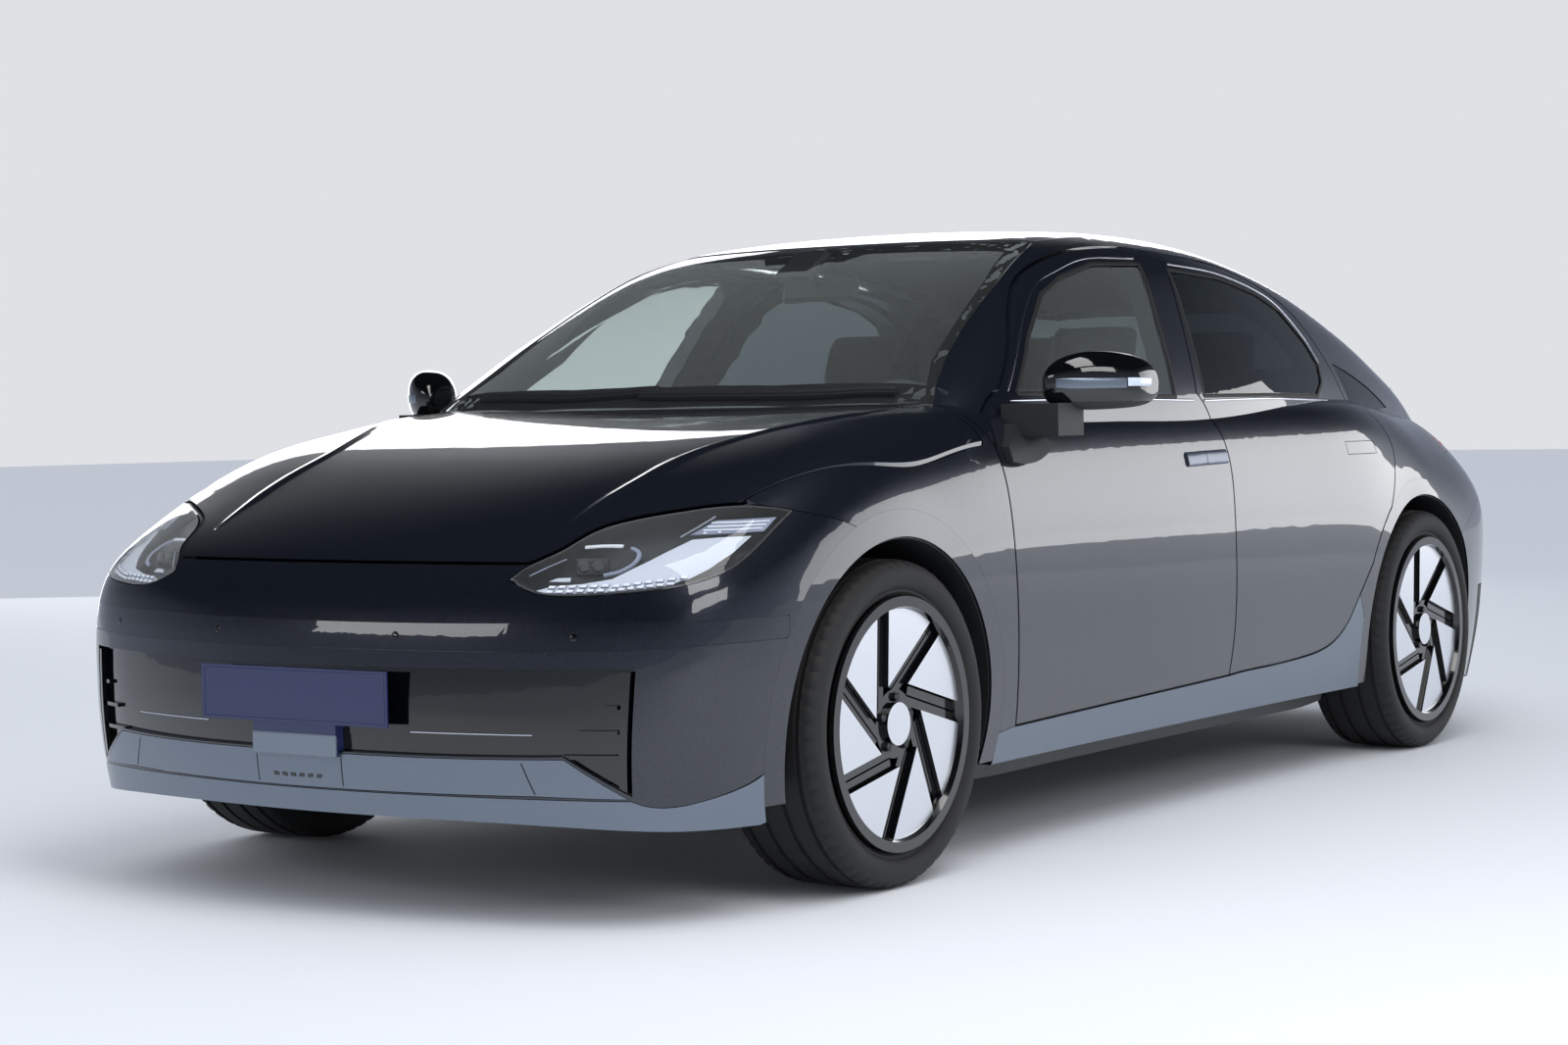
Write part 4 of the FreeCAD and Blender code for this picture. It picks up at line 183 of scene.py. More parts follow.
fill = add(room, "ShaderNodeBackground", {"Color": linear(FILL_COLOUR), "Strength": FILL_LIGHT})
mirrored_room = add(room, "ShaderNodeBackground", {"Color": wall.outputs["Color"], "Strength": ROOM_LIGHT})
bounced = add(room, "ShaderNodeMixShader", {0: seen.outputs["Is Glossy Ray"], 1: fill.outputs[0],
                                            2: mirrored_room.outputs[0]})
either = add(room, "ShaderNodeMixShader", {0: shown.outputs[0], 1: bounced.outputs[0], 2: pale.outputs[0]})
add(room, "ShaderNodeOutputWorld", {"Surface": either.outputs[0]})

for name, box in LIGHT_BOXES.items():
    soft_box(name, *box)
for name, box in MIRRORED_BOXES.items():
    soft_box(name, *box).visible_diffuse = False

# Painted panels
# Pressed steel and aluminium under a near-black metallic base coat and a
# clear coat: a deep mirror, with a faint grey-blue sparkle where light falls.
# The real flakes are finer and are drawn this coarse so that they show.
PAINT_COLOUR = "#0D111A"
FLAKE_COLOUR = "#3A465C"
FLAKE_MM = 0.9


def grid_of(tree):
    """The place on the car in metres, the same for every node."""
    return add(tree, "ShaderNodeTexCoord", {}).outputs["Object"]


def tone(made, share, colour, light_colour):
    """Mixes a material's colour from two, by a share that varies over it."""
    mix = add(made.node_tree, "ShaderNodeMix", {0: share, 6: linear(colour), 7: linear(light_colour)},
              data_type="RGBA")
    made.node_tree.links.new(mix.outputs[2], shader_of(made).inputs["Base Color"])


def two_tone(name, colour, light_colour, grain_mm, low, high, **values):
    """A smooth finish that a fine noise turns from one colour to a lighter one."""
    made = material(name, **values)
    tree = made.node_tree
    cloud = add(tree, "ShaderNodeTexNoise", {"Vector": grid_of(tree), "Scale": 1000 / grain_mm,
                                             "Detail": 1.0})
    glint = add(tree, "ShaderNodeMapRange", {"Value": cloud.outputs["Fac"], "From Min": low,
                                             "From Max": high})
    tone(made, glint.outputs["Result"], colour, light_colour)
    return made


paint = two_tone("metallic_paint", PAINT_COLOUR, FLAKE_COLOUR, FLAKE_MM, 0.55, 0.75, Metallic=0.6,
                 Roughness=0.30, Coat_Weight=1.0, Coat_Roughness=0.012, Coat_IOR=1.6)
dress(paint, "body_side_left", "body_side_right", "roof_panel", "front_fenders", "front_bumper",
      "rear_bumper", "hood", "boot_lid", "front_door_left", "front_door_right", "rear_door_left",
      "rear_door_right", "sensor_band", "arch_rings")

# Inner linings
# Moulded polypropylene panels behind the doors and pillars and a knitted
# headliner under the roof: fine leather-like grain, no shine.
LINING_COLOUR = "#1B1C1F"
LINING_LIGHT_COLOUR = "#212226"
HEADLINER_COLOUR = "#6E6E6C"
HEADLINER_LIGHT_COLOUR = "#777775"
GRAIN_MM = 1.1
KNIT_MM = 1.6
INWARD = 0.25


def grained(name, colour, light_colour, grain_mm, roughness, depth):
    """A moulded plastic or knit with fine grain in its colour and its relief."""
    made = material(name, Roughness=roughness)
    tree = made.node_tree
    place = grid_of(tree)
    cells = add(tree, "ShaderNodeTexVoronoi", {"Vector": place, "Scale": 1000 / grain_mm})
    cloudy = add(tree, "ShaderNodeTexNoise", {"Vector": place, "Scale": 6.0, "Detail": 3.0})
    relief = add(tree, "ShaderNodeBump", {"Height": cells.outputs["Distance"], "Strength": depth,
                                          "Distance": grain_mm / 4000})
    tone(made, cloudy.outputs["Fac"], colour, light_colour)
    tree.links.new(relief.outputs["Normal"], shader_of(made).inputs["Normal"])
    return made


def line_faces(node, second, chosen):
    """Gives a second material to the chosen faces of a CAD node."""
    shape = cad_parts[node].data
    shape.materials.append(second)
    for face in shape.polygons:
        if chosen(face):
            face.material_index = len(shape.materials) - 1


lining = grained("grained_lining", LINING_COLOUR, LINING_LIGHT_COLOUR, GRAIN_MM, 0.62, 0.5)
headliner = grained("knit_headliner", HEADLINER_COLOUR, HEADLINER_LIGHT_COLOUR, KNIT_MM, 0.95, 0.6)
for side, name in ((1, "left"), (-1, "right")):
    for part in ("front_door_", "rear_door_", "body_side_"):
        line_faces(part + name, lining, lambda face: face.normal.x * side < -INWARD)
line_faces("roof_panel", headliner, lambda face: face.normal.z < -INWARD)

# Glass
# Laminated and toughened safety glass: clear in front and in the front
# doors, dark privacy glass behind them. Light falls through it into the cabin.
CLEAR_GLASS_COLOUR = "#E9F2F0"
PRIVACY_GLASS_COLOUR = "#5E686E"
GLASS_IOR = 1.50

clear_glass = material("safety_glass", CLEAR_GLASS_COLOUR, Roughness=0.0, IOR=GLASS_IOR,
                       Transmission_Weight=1.0)
privacy_glass = material("privacy_glass", PRIVACY_GLASS_COLOUR, Roughness=0.0, IOR=GLASS_IOR,
                         Transmission_Weight=1.0)
CLEAR_PANES = ("windshield", "front_glass_left", "front_glass_right")
DARK_PANES = ("rear_window", "quarter_glass", "rear_glass_left", "rear_glass_right")
dress(clear_glass, *CLEAR_PANES)
dress(privacy_glass, *DARK_PANES)
for pane in CLEAR_PANES + DARK_PANES:
    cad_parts[pane].visible_shadow = False

# Front trims
# Moulded ABS and polypropylene: a gloss-black grille, an apron, lip and
# skirts in satin grey-blue, and grained black behind and below.
GLOSS_BLACK_COLOUR = "#060708"
SATIN_COLOUR = "#67717F"
SATIN_LIGHT_COLOUR = "#79838F"
CLADDING_COLOUR = "#17181A"
CLADDING_LIGHT_COLOUR = "#1D1E21"
CLADDING_GRAIN_MM = 0.8
MIRROR_ARM_TOP = 1.034

gloss_black = material("gloss_black_abs", GLOSS_BLACK_COLOUR, Roughness=0.06, IOR=1.54, Coat_Weight=0.6,
                       Coat_Roughness=0.02)
satin = two_tone("satin_paint", SATIN_COLOUR, SATIN_LIGHT_COLOUR, FLAKE_MM, 0.3, 0.7, Metallic=0.75,
                 Roughness=0.32, Coat_Weight=0.35, Coat_Roughness=0.12)
cladding = grained("grained_cladding", CLADDING_COLOUR, CLADDING_LIGHT_COLOUR, CLADDING_GRAIN_MM, 0.55,
                   0.35)
dress(gloss_black, "lower_grille", "mirror_left", "mirror_right")
dress(satin, "front_apron", "side_skirts", "front_lip")
dress(cladding, "rear_apron", "wheel_liners", "cowl", "front_tub", "boot_tub")
for node in ("mirror_left", "mirror_right"):
    line_faces(node, cladding, lambda face: face.center.z < MIRROR_ARM_TOP)

# Lines on the skin
# Seals, mouldings, handles and lamp details follow the panels that carry
# them: each path is drawn as one view shows it, and lands on the panel's skin.
STEP = 0.012
FINE_STEP = 0.006
FAR = 4.0
# A spot that lands deeper than its neighbours on both sides fell past an edge.
JUMP = 0.006
WINDOW = 5
BEAD = [(-1.0, -0.3), (-0.86, 0.62), (-0.55, 1.0), (0.55, 1.0), (0.86, 0.62), (1.0, -0.3)]
END_WIDTH = 0.2
SHEET = 0.002
ROUND_SIDES = 24
SHARP_DEGREES = 38.0
UP = Vector((0, 0, 1))
FROM_LEFT = (-1, 0, 0)
FROM_INSIDE = (1, 0, 0)
FROM_FRONT = (0, 1, 0)
FROM_REAR = (0, -1, 0)
FROM_TOP = (0, 0, -1)
FROM_BELOW = (0, 0, 1)


def skin_of(*names):
    """The skin of some CAD nodes, to lay pieces on."""
    points, faces = [], []
    for name in names:
        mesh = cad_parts[name].data
        start = len(points)
        points += [vertex.co.copy() for vertex in mesh.vertices]
        faces += [[start + i for i in face.vertices] for face in mesh.polygons]
    return BVHTree.FromPolygons(points, faces)


def lifted(spot, aim, depth):
    """The point at a spot of the view along aim, this deep along it."""
    axis = [abs(part) for part in aim].index(1)
    return Vector((*spot[:axis], depth * aim[axis], *spot[axis:]))


def landing(skin, spot, aim, depth=None):
    """Where a spot of the view along aim lands on a skin, and the skin's normal towards the eye.
    A spot beside the skin takes the place nearest to it at a depth, where one is given."""
    place, normal, _, _ = skin.ray_cast(lifted(spot, aim, -FAR), Vector(aim))
    if place is None and depth is not None:
        place, normal, _, _ = skin.find_nearest(lifted(spot, aim, depth))
    if place is not None and normal.dot(Vector(aim)) >= 0:
        normal = -normal
    return place, normal


def facing(normal):
    """The level and the upward direction on a surface with this normal."""
    level = UP.cross(normal).normalized()
    return level, normal.cross(level)


def smooth_line(spots, step=STEP):
    """Evenly spaced spots on a smooth line through a few."""
    knots = [Vector(spot) for spot in spots]
    knots = [knots[0] * 2 - knots[1]] + knots + [knots[-1] * 2 - knots[-2]]
    line = []
    for before, start, end, after in zip(knots, knots[1:], knots[2:], knots[3:]):
        count = max(1, round((end - start).length / step))
        for k in range(count):
            t = k / count
            line.append((start * 2 + (end - before) * t
                         + (before * 2 - start * 5 + end * 4 - after) * t ** 2
                         + (start * 3 - before - end * 3 + after) * t ** 3) / 2)
    return line + [knots[-2]]


def laid(skin, line, aim):
    """Where the spots of a line land on a skin, without those that fall past its edge."""
    found = [hit for hit in (landing(skin, spot, aim) for spot in line) if hit[0] is not None]
    depths = [place.dot(Vector(aim)) for place, _ in found]
    kept = []
    for i, (place, _) in enumerate(found):
        near = sorted(depths[max(0, i - WINDOW):i + WINDOW + 1])
        if abs(depths[i] - near[len(near) // 2]) < JUMP * (1 + len(near)):
            normals = [normal for _, normal in found[max(0, i - 1):i + 2]]
            kept.append((place, sum(normals, Vector((0, 0, 0))).normalized()))
    return kept


def circle(centre, level, upward, radius, sides, first=0.0):
    """The corners of a ring round a centre."""
    turns = [first + math.tau * k / sides for k in range(sides)]
    return [centre + (level * math.cos(turn) + upward * math.sin(turn)) * radius for turn in turns]


def within(spot, loop):
    """Whether a spot lies inside a closed outline."""
    crossed = False
    for i, a in enumerate(loop):
        b = loop[i - 1]
        if (a.y > spot.y) != (b.y > spot.y) and spot.x < a.x + (spot.y - a.y) * (b.x - a.x) / (b.y - a.y):
            crossed = not crossed
    return crossed


class Form:
    """The points and faces of one piece while it is made."""

    def __init__(self):
        self.points = []
        self.faces = []

    def loft(self, rings, closed=False):
        """Skins a row of rings with equal counts, and caps its two ends unless the row is closed."""
        start, count, rows = len(self.points), len(rings[0]), len(rings)
        for ring in rings:
            self.points += ring
        for i in range(rows if closed else rows - 1):
            for j in range(count):
                k = (j + 1) % count
                after = start + (i + 1) % rows * count
                self.faces.append((start + i * count + j, start + i * count + k, after + k, after + j))
        if not closed:
            self.faces.append(tuple(start + j for j in reversed(range(count))))
            self.faces.append(tuple(start + (rows - 1) * count + j for j in range(count)))
        return self

    def strip(self, stations, section, size, lift=0.0, taper=0):
        """Runs a section, as wide and high as size, along places on a skin; taper thins its ends."""
        last = len(stations) - 1
        rings = []
        for i, (place, normal) in enumerate(stations):
            travel = stations[min(i + 1, last)][0] - stations[max(i - 1, 0)][0]
            across = travel.cross(normal).normalized()
            share = min(1.0, taper * min(i, last - i) / len(stations)) if taper else 1.0
            rings.append([place + across * (size[0] / 2 * (END_WIDTH + (1 - END_WIDTH) * share) * a)
                          + normal * (lift + size[1] * share * b) for a, b in section])
        return self.loft(rings)

    def bead(self, skin, path, aim, size, lift=0.0, step=STEP):
        """A low rounded strip that follows the skin."""
        stations = laid(skin, smooth_line(path, step), aim)
        return self.strip(stations, BEAD, size, lift) if len(stations) > 2 else self

    def edged(self, skin, outline, aim, size, step=STEP):
        """Beads on the edges of an outline, each by itself so that the corners stay sharp."""
        for a, b in zip(outline, outline[1:] + outline[:1]):
            self.bead(skin, (a, ((a[0] + b[0]) / 2, (a[1] + b[1]) / 2), b), aim, size, step=step)
        return self

    def patch(self, skin, outline, aim, lift, thickness, cell, hole=()):
        """A thin plate with the given outline, laid on the skin."""
        edge, gap = ([Vector(corner) for corner in loop] for loop in (outline, hole))
        flat, joins = [], []
        for loop in (edge, gap):
            first = len(flat)
            for corner, after in zip(loop, loop[1:] + loop[:1]):
                count = max(1, round((after - corner).length / cell))
                flat += [corner.lerp(after, k / count) for k in range(count)]
            joins += [(k, k + 1) for k in range(first, len(flat) - 1)]
            if len(flat) > first:
                joins.append((len(flat) - 1, first))
        low, high = ([limit(corner[i] for corner in edge) for i in (0, 1)] for limit in (min, max))
        columns, rows = (max(1, round((high[i] - low[i]) / cell)) for i in (0, 1))
        for i in range(1, columns):
            for j in range(1, rows):
                spot = Vector((low[0] + (high[0] - low[0]) * i / columns,
                               low[1] + (high[1] - low[1]) * j / rows))
                if within(spot, edge) and not within(spot, gap):
                    flat.append(spot)
        flat, _, cells, _, _, _ = delaunay_2d_cdt(flat, joins, [], 0, 1e-6)
        tops, bottoms = [], []
        for spot in flat:
            depth = tops[-1].dot(Vector(aim)) + lift if tops else 0.0
            place, normal = landing(skin, spot, aim, depth)
            tops.append(place + normal * lift)
            bottoms.append(place + normal * (lift - thickness))
        start, under = len(self.points), len(self.points) + len(tops)
        self.points += tops + bottoms
        sides = {}
        for corners in cells:
            middle = sum((flat[i] for i in corners), Vector((0, 0))) / len(corners)
            if not within(middle, edge) or within(middle, gap):
                continue
            self.faces.append(tuple(start + i for i in corners))
            self.faces.append(tuple(under + i for i in reversed(corners)))
            for a, b in zip(corners, corners[1:] + corners[:1]):
                if (b, a) in sides:
                    del sides[(b, a)]
                else:
                    sides[(a, b)] = True
        self.faces += [(start + b, start + a, under + a, under + b) for a, b in sides]
        return self

    def brick(self, centre, axes, size, rounding):
        """A block with rounded corners and edges; axes are its level, upward and outward directions."""
        level, upward, outward = (Vector(axis).normalized() for axis in axes)
        width, tall, deep = (length / 2 for length in size)
        rings = []
        for out, inset in ((-deep, rounding), (rounding - deep, 0), (deep - rounding, 0), (deep, rounding)):
            ring = []
            for corner, (x, z) in enumerate(((1, 1), (-1, 1), (-1, -1), (1, -1))):
                for turn in (0, 45, 90):
                    angle = math.radians(corner * 90 + turn)
                    ring.append(Vector(centre) + outward * out
                                + level * (x * (width - rounding) + (rounding - inset) * math.cos(angle))
                                + upward * (z * (tall - rounding) + (rounding - inset) * math.sin(angle)))
            rings.append(ring)
        return self.loft(rings)

    def turned(self, centre, axes, profile, sides, first=0.0):
        """A round or many-sided piece; its profile gives places along the outward axis and radii."""
        level, upward, outward = axes
        return self.loft([circle(centre + outward * out, level, upward, radius, sides, first)
                          for out, radius in profile])

    def tube(self, points, radius, sides=8):
        """A round bar along a line of points."""
        rings = []
        for i, point in enumerate(points):
            along = (points[min(i + 1, len(points) - 1)] - points[max(i - 1, 0)]).normalized()
            level = along.cross(UP if abs(along.z) < 0.9 else Vector((0, 1, 0))).normalized()
            rings.append(circle(point, level, level.cross(along), radius, sides))
        return self.loft(rings)

    def join(self, other):
        start = len(self.points)
        self.points += other.points
        self.faces += [tuple(start + i for i in face) for face in other.faces]
        return self

    def mirrored(self):
        other = Form()
        other.points = [Vector((-p.x, p.y, p.z)) for p in self.points]
        other.faces = [tuple(reversed(face)) for face in self.faces]
        return other

    def piece(self, name, made, body, softness=0):
        """Makes the piece, dresses it and lets it ride a body."""
        mesh = bpy.data.meshes.new(name)
        mesh.from_pydata(self.points, [], self.faces)
        tidy = bmesh.new()
        tidy.from_mesh(mesh)
        bmesh.ops.recalc_face_normals(tidy, faces=tidy.faces)
        tidy.to_mesh(mesh)
        tidy.free()
        mesh.materials.append(made)
        mesh.shade_smooth()
        mesh.set_sharp_from_angle(angle=math.radians(SHARP_DEGREES))
        shape = link(bpy.data.objects.new(name, mesh))
        if softness:
            soft = shape.modifiers.new("soft", "SUBSURF")
            soft.levels = soft.render_levels = softness
        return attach(shape, body)


def both(form, name, made, bodies=("root", "root")):
    """The piece on the left side and its mirror image on the right."""
    form.piece(name + "_left", made, bodies[0])
    form.mirrored().piece(name + "_right", made, bodies[1])


# Window surrounds
# A bright thin moulding runs over the door frames and under the glass, and
# black rubber seals line the windows just inside it.
FRONT_FRAME = [(-0.893, 1.062), (-0.712, 1.200), (-0.535, 1.313), (-0.387, 1.364), (-0.196, 1.403),
               (0.072, 1.413)]
REAR_FRAME = [(0.262, 1.405), (0.565, 1.391), (0.808, 1.352), (0.942, 1.306), (1.046, 1.212),
              (1.082, 1.143)]
FRONT_WINDOW = [(-0.862, 1.056), (-0.700, 1.186), (-0.525, 1.299), (-0.380, 1.351), (-0.193, 1.389),
                (0.078, 1.398), (0.006, 1.230), (-0.062, 1.046), (-0.450, 1.054)]
REAR_WINDOW = [(0.104, 1.048), (0.169, 1.215), (0.237, 1.389), (0.560, 1.377), (0.800, 1.339),
               (0.933, 1.295), (1.036, 1.203), (1.068, 1.140), (1.034, 1.086), (0.948, 1.046),
               (0.530, 1.050)]
FRONT_BELT = [(-0.900, 1.040), (-0.450, 1.042), (0.030, 1.037)]
REAR_BELT = [(0.086, 1.036), (0.530, 1.040), (1.020, 1.035)]
MOULDING = (0.007, 0.0022)
SEAL = (0.012, 0.0015)
FRONT_DOORS = ("front_door_left_body", "front_door_right_body")
REAR_DOORS = ("rear_door_left_body", "rear_door_right_body")

bright = material("bright_moulding", "#B9BEC6", Metallic=1.0, Roughness=0.16)
seal = grained("seal_rubber", "#0E0E0F", "#141415", 1.0, 0.6, 0.3)
front_door = skin_of("front_door_left")
rear_door = skin_of("rear_door_left")
for name, skin, bodies, lines, window in (
        ("front_window", front_door, FRONT_DOORS, (FRONT_FRAME, FRONT_BELT), FRONT_WINDOW),
        ("rear_window", rear_door, REAR_DOORS, (REAR_FRAME, REAR_BELT), REAR_WINDOW)):
    moulding = Form()
    for line in lines:
        moulding.bead(skin, line, FROM_LEFT, MOULDING)
    both(moulding, name + "_moulding", bright, bodies)
    both(Form().edged(skin, window, FROM_LEFT, SEAL), name + "_seal", seal, bodies)

# Door handles
# The front handles stand a little proud as satin grey blocks with a split
# near the middle; the rear ones lie flush, so only their outline shows.
FRONT_HANDLE = [(-0.118, 0.886), (0.000, 0.888), (0.112, 0.890)]
HANDLE = (0.040, 0.006)
GROOVE = (0.0022, 0.0004)
HANDLE_SPLITS = {-0.119: 0.0, -0.010: HANDLE[1]}
SPLIT_HEIGHTS = (0.868, 0.887, 0.906)
SPLIT_STEP = 0.004
REAR_HANDLE = [(0.888, 0.880), (1.098, 0.880), (1.098, 0.916), (0.888, 0.916)]

handle_finish = two_tone("handle_satin", "#4A5262", "#566072", FLAKE_MM, 0.3, 0.7, Metallic=0.7,
                         Roughness=0.3, Coat_Weight=0.5, Coat_Roughness=0.08)
front_handle = Form().bead(front_door, FRONT_HANDLE, FROM_LEFT, HANDLE)
both(front_handle, "front_handle", handle_finish, FRONT_DOORS)
handle_lines = Form()
for y, proud in HANDLE_SPLITS.items():
    split = [(y, z) for z in SPLIT_HEIGHTS]
    handle_lines.bead(front_door, split, FROM_LEFT, GROOVE, proud, SPLIT_STEP)
both(handle_lines, "front_handle_lines", seal, FRONT_DOORS)
rear_handle = Form().edged(rear_door, REAR_HANDLE, FROM_LEFT, GROOVE, FINE_STEP)
both(rear_handle, "rear_handle_outline", seal, REAR_DOORS)

# Door mirrors
# A gloss cap with a pale satin band round its middle, a clear repeater lens
# at its outer end, and a first-surface mirror in its rear face.
MIRROR_CENTRE = (1.010, -0.820)
BAND_BEARINGS = (-112, 12)
BAND_HEIGHT = 1.076
BAND = (0.024, 0.0016)
REPEATER_BEARINGS = (14, 46)
REPEATER_HEIGHT = 1.078
REPEATER = (0.020, 0.0018)
BEARING_STEP = 4
MIRROR_GLASS = [(0.955, 1.056), (1.070, 1.050), (1.088, 1.075), (1.085, 1.112), (1.066, 1.132),
                (0.975, 1.126), (0.955, 1.105)]
MIRROR_GLASS_CELL = 0.01

mirror_silver = material("mirror_silver", "#E8ECEE", Metallic=1.0, Roughness=0.02)
repeater_lens = material("clear_repeater", "#C9D2E0", Roughness=0.05, IOR=1.58, Coat_Weight=1.0,
                         Coat_Roughness=0.02)
mirror_skin = skin_of("mirror_left")


def round_mirror(bearings, height, size):
    """A band that runs level round the mirror's housing between two bearings."""
    stations = []
    for bearing in range(bearings[0], bearings[1] + 1, BEARING_STEP):
        aim = Vector((-math.cos(math.radians(bearing)), -math.sin(math.radians(bearing)), 0))
        place, normal, _, _ = mirror_skin.ray_cast(Vector((*MIRROR_CENTRE, height)) - aim, aim)
        if place is not None:
            stations.append((place, -normal if normal.dot(aim) > 0 else normal))
    return Form().strip(stations, BEAD, size)


both(round_mirror(BAND_BEARINGS, BAND_HEIGHT, BAND), "mirror_band", satin, FRONT_DOORS)
both(round_mirror(REPEATER_BEARINGS, REPEATER_HEIGHT, REPEATER), "mirror_repeater", repeater_lens,
     FRONT_DOORS)
mirror_glass = Form().patch(mirror_skin, MIRROR_GLASS, FROM_REAR, SHEET / 2, SHEET, MIRROR_GLASS_CELL)
both(mirror_glass, "mirror_glass", mirror_silver, FRONT_DOORS)

# Front face
# Thin bright lines beside the plate, dark joint lines and six small slots in
# the apron, and round parking sensors in the band.
BRIGHT_LINE = [(0.284, 0.387), (0.400, 0.387), (0.552, 0.387)]
BRIGHT_LINE_SIZE = (0.0045, 0.0015)
APRON_JOINTS = [[(0.118, 0.270), (0.118, 0.301), (0.119, 0.333)],
                [(0.560, 0.270), (0.548, 0.301), (0.536, 0.333)]]
APRON_JOINT_SIZE = (0.0032, GROOVE[1])
SLOT_PLACES = [-0.064, -0.040, -0.016, 0.008, 0.032, 0.056]
SLOT_HEIGHT = 0.288
SLOT_SIZE = (0.015, 0.009, 0.002)
SLOT_ROUNDING = 0.0009
SLOT_SLANT = 0.35
SENSOR_PLACES = [0.250, 0.640]
SENSOR_HEIGHT = 0.581
SENSOR_PROFILE = [(-0.001, 0.009), (0.0003, 0.009), (0.0003, 0.00792), (-0.0002, 0.00756), (0.0006, 0.0054)]

grille = skin_of("lower_grille")
apron = skin_of("front_apron")
band = skin_of("sensor_band")
both(Form().bead(grille, BRIGHT_LINE, FROM_FRONT, BRIGHT_LINE_SIZE), "grille_line", bright)
joints = Form()
for joint in APRON_JOINTS:
    joints.bead(apron, joint, FROM_FRONT, APRON_JOINT_SIZE, step=FINE_STEP)
both(joints, "apron_joints", seal)
slots = Form()
for x in SLOT_PLACES:
    place, normal = landing(apron, (x, SLOT_HEIGHT), FROM_FRONT)
    slots.brick(place, ((1, 0, 0), (math.copysign(SLOT_SLANT, x), 0, 1), normal), SLOT_SIZE, SLOT_ROUNDING)
slots.piece("apron_slots", gloss_black, "root")
sensors = Form()
for x in SENSOR_PLACES:
    place, normal = landing(band, (x, SENSOR_HEIGHT), FROM_FRONT)
    sensors.turned(place, (*facing(normal), normal), SENSOR_PROFILE, ROUND_SIDES)
both(sensors, "parking_sensors", gloss_black)

# Number plate
# A pressed aluminium plate with a plain dark blue film, left blank, with a
# raised edge, over a small grey block.
PLATE_EDGE = [(-0.252, 0.402), (0.252, 0.402), (0.252, 0.503), (-0.252, 0.503)]
PLATE_EDGE_SIZE = (0.004, 0.0012)
HOLDER_CENTRE = (0.0, 0.352)
HOLDER_SIZE = (0.232, 0.046, 0.010)
HOLDER_ROUNDING = 0.003

plate_film = material("plate_film", "#1C2650", Roughness=0.28, Coat_Weight=0.4, Coat_Roughness=0.1)
holder_grey = grained("holder_plastic", "#6A7480", "#727C88", 0.9, 0.45, 0.3)
dress(plate_film, "number_plate")
plate = skin_of("number_plate")
Form().edged(plate, PLATE_EDGE, FROM_FRONT, PLATE_EDGE_SIZE).piece("plate_edge", plate_film, "root")
place, _ = landing(plate, HOLDER_CENTRE, FROM_FRONT)
holder = Form().brick(place, ((1, 0, 0), (0, 0, 1), (0, -1, 0)), HOLDER_SIZE, HOLDER_ROUNDING)
holder.piece("plate_holder", holder_grey, "root")

# Hood creases
# Two pressed creases rise from the lamps' inner tips to the corners of the
# windscreen, each a soft ridge that catches a line of light.
CREASE = [(0.486, -2.150), (0.495, -2.050), (0.512, -1.910), (0.530, -1.740), (0.585, -1.580),
          (0.645, -1.450), (0.700, -1.320), (0.725, -1.200)]
CREASE_SIZE = (0.046, 0.0042)
CREASE_LIFT = 0.0002
CREASE_TAPER = 6
RIDGE = [(-1.0, -0.1), (-0.7, 0.12), (-0.4, 0.45), (-0.15, 0.88), (0.0, 1.0), (0.3, 0.72), (0.62, 0.22),
         (1.0, -0.1)]
crease_path = laid(skin_of("hood"), smooth_line(CREASE), FROM_TOP)
both(Form().strip(crease_path, RIDGE, CREASE_SIZE, CREASE_LIFT, CREASE_TAPER), "hood_crease", paint,
     ("hood_body", "hood_body"))

# Headlamps
# Under each clear cover: a dark housing with a projector block, a white
# guide over it and a curved trim beside it, a broad silver bezel with two
# rows of small square lights, and a ribbed turn lamp behind a bright bar.
BEZEL = [(0.530, 0.677), (0.565, 0.687), (0.625, 0.692), (0.678, 0.702), (0.722, 0.735), (0.766, 0.776),
         (0.806, 0.779), (0.852, 0.779), (0.849, 0.748), (0.836, 0.719), (0.814, 0.699), (0.780, 0.685),
         (0.715, 0.676), (0.640, 0.671), (0.580, 0.669), (0.545, 0.669)]
BEZEL_DEPTH = 0.013
BEZEL_CELL = 0.012
PIXEL_ROWS = [((0.566, 0.6835), (0.672, 0.6870), 6), ((0.566, 0.6745), (0.668, 0.6775), 6),
              ((0.694, 0.6860), (0.806, 0.7010), 7), ((0.690, 0.6775), (0.790, 0.6890), 7)]
PIXEL_SIZE = (0.0135, 0.0066, 0.003)
PIXEL_FRAME_SIZE = (0.0157, 0.0084, 0.003)
PIXEL_FRAME_SINK = 0.0012
PIXEL_ROUNDING = 0.0008
PIXEL_SLANT = 0.35
PROJECTOR_CENTRE = (0.606, 0.738)
PROJECTOR_SIZE = (0.070, 0.036, 0.020)
PROJECTOR_DEPTH = 0.030
PROJECTOR_ROUNDING = 0.005
BEAM = Vector((0.25, -1, 0.05)).normalized()
EYE_OFFSETS = (-0.016, 0.016)
EYE_PROFILE = [(-0.002, 0.0135), (0.0015, 0.0135), (0.0015, 0.0122), (0.0035, 0.0100), (0.0046, 0.0060),
               (0.0049, 0.0015)]
EYE_SIDES = 28
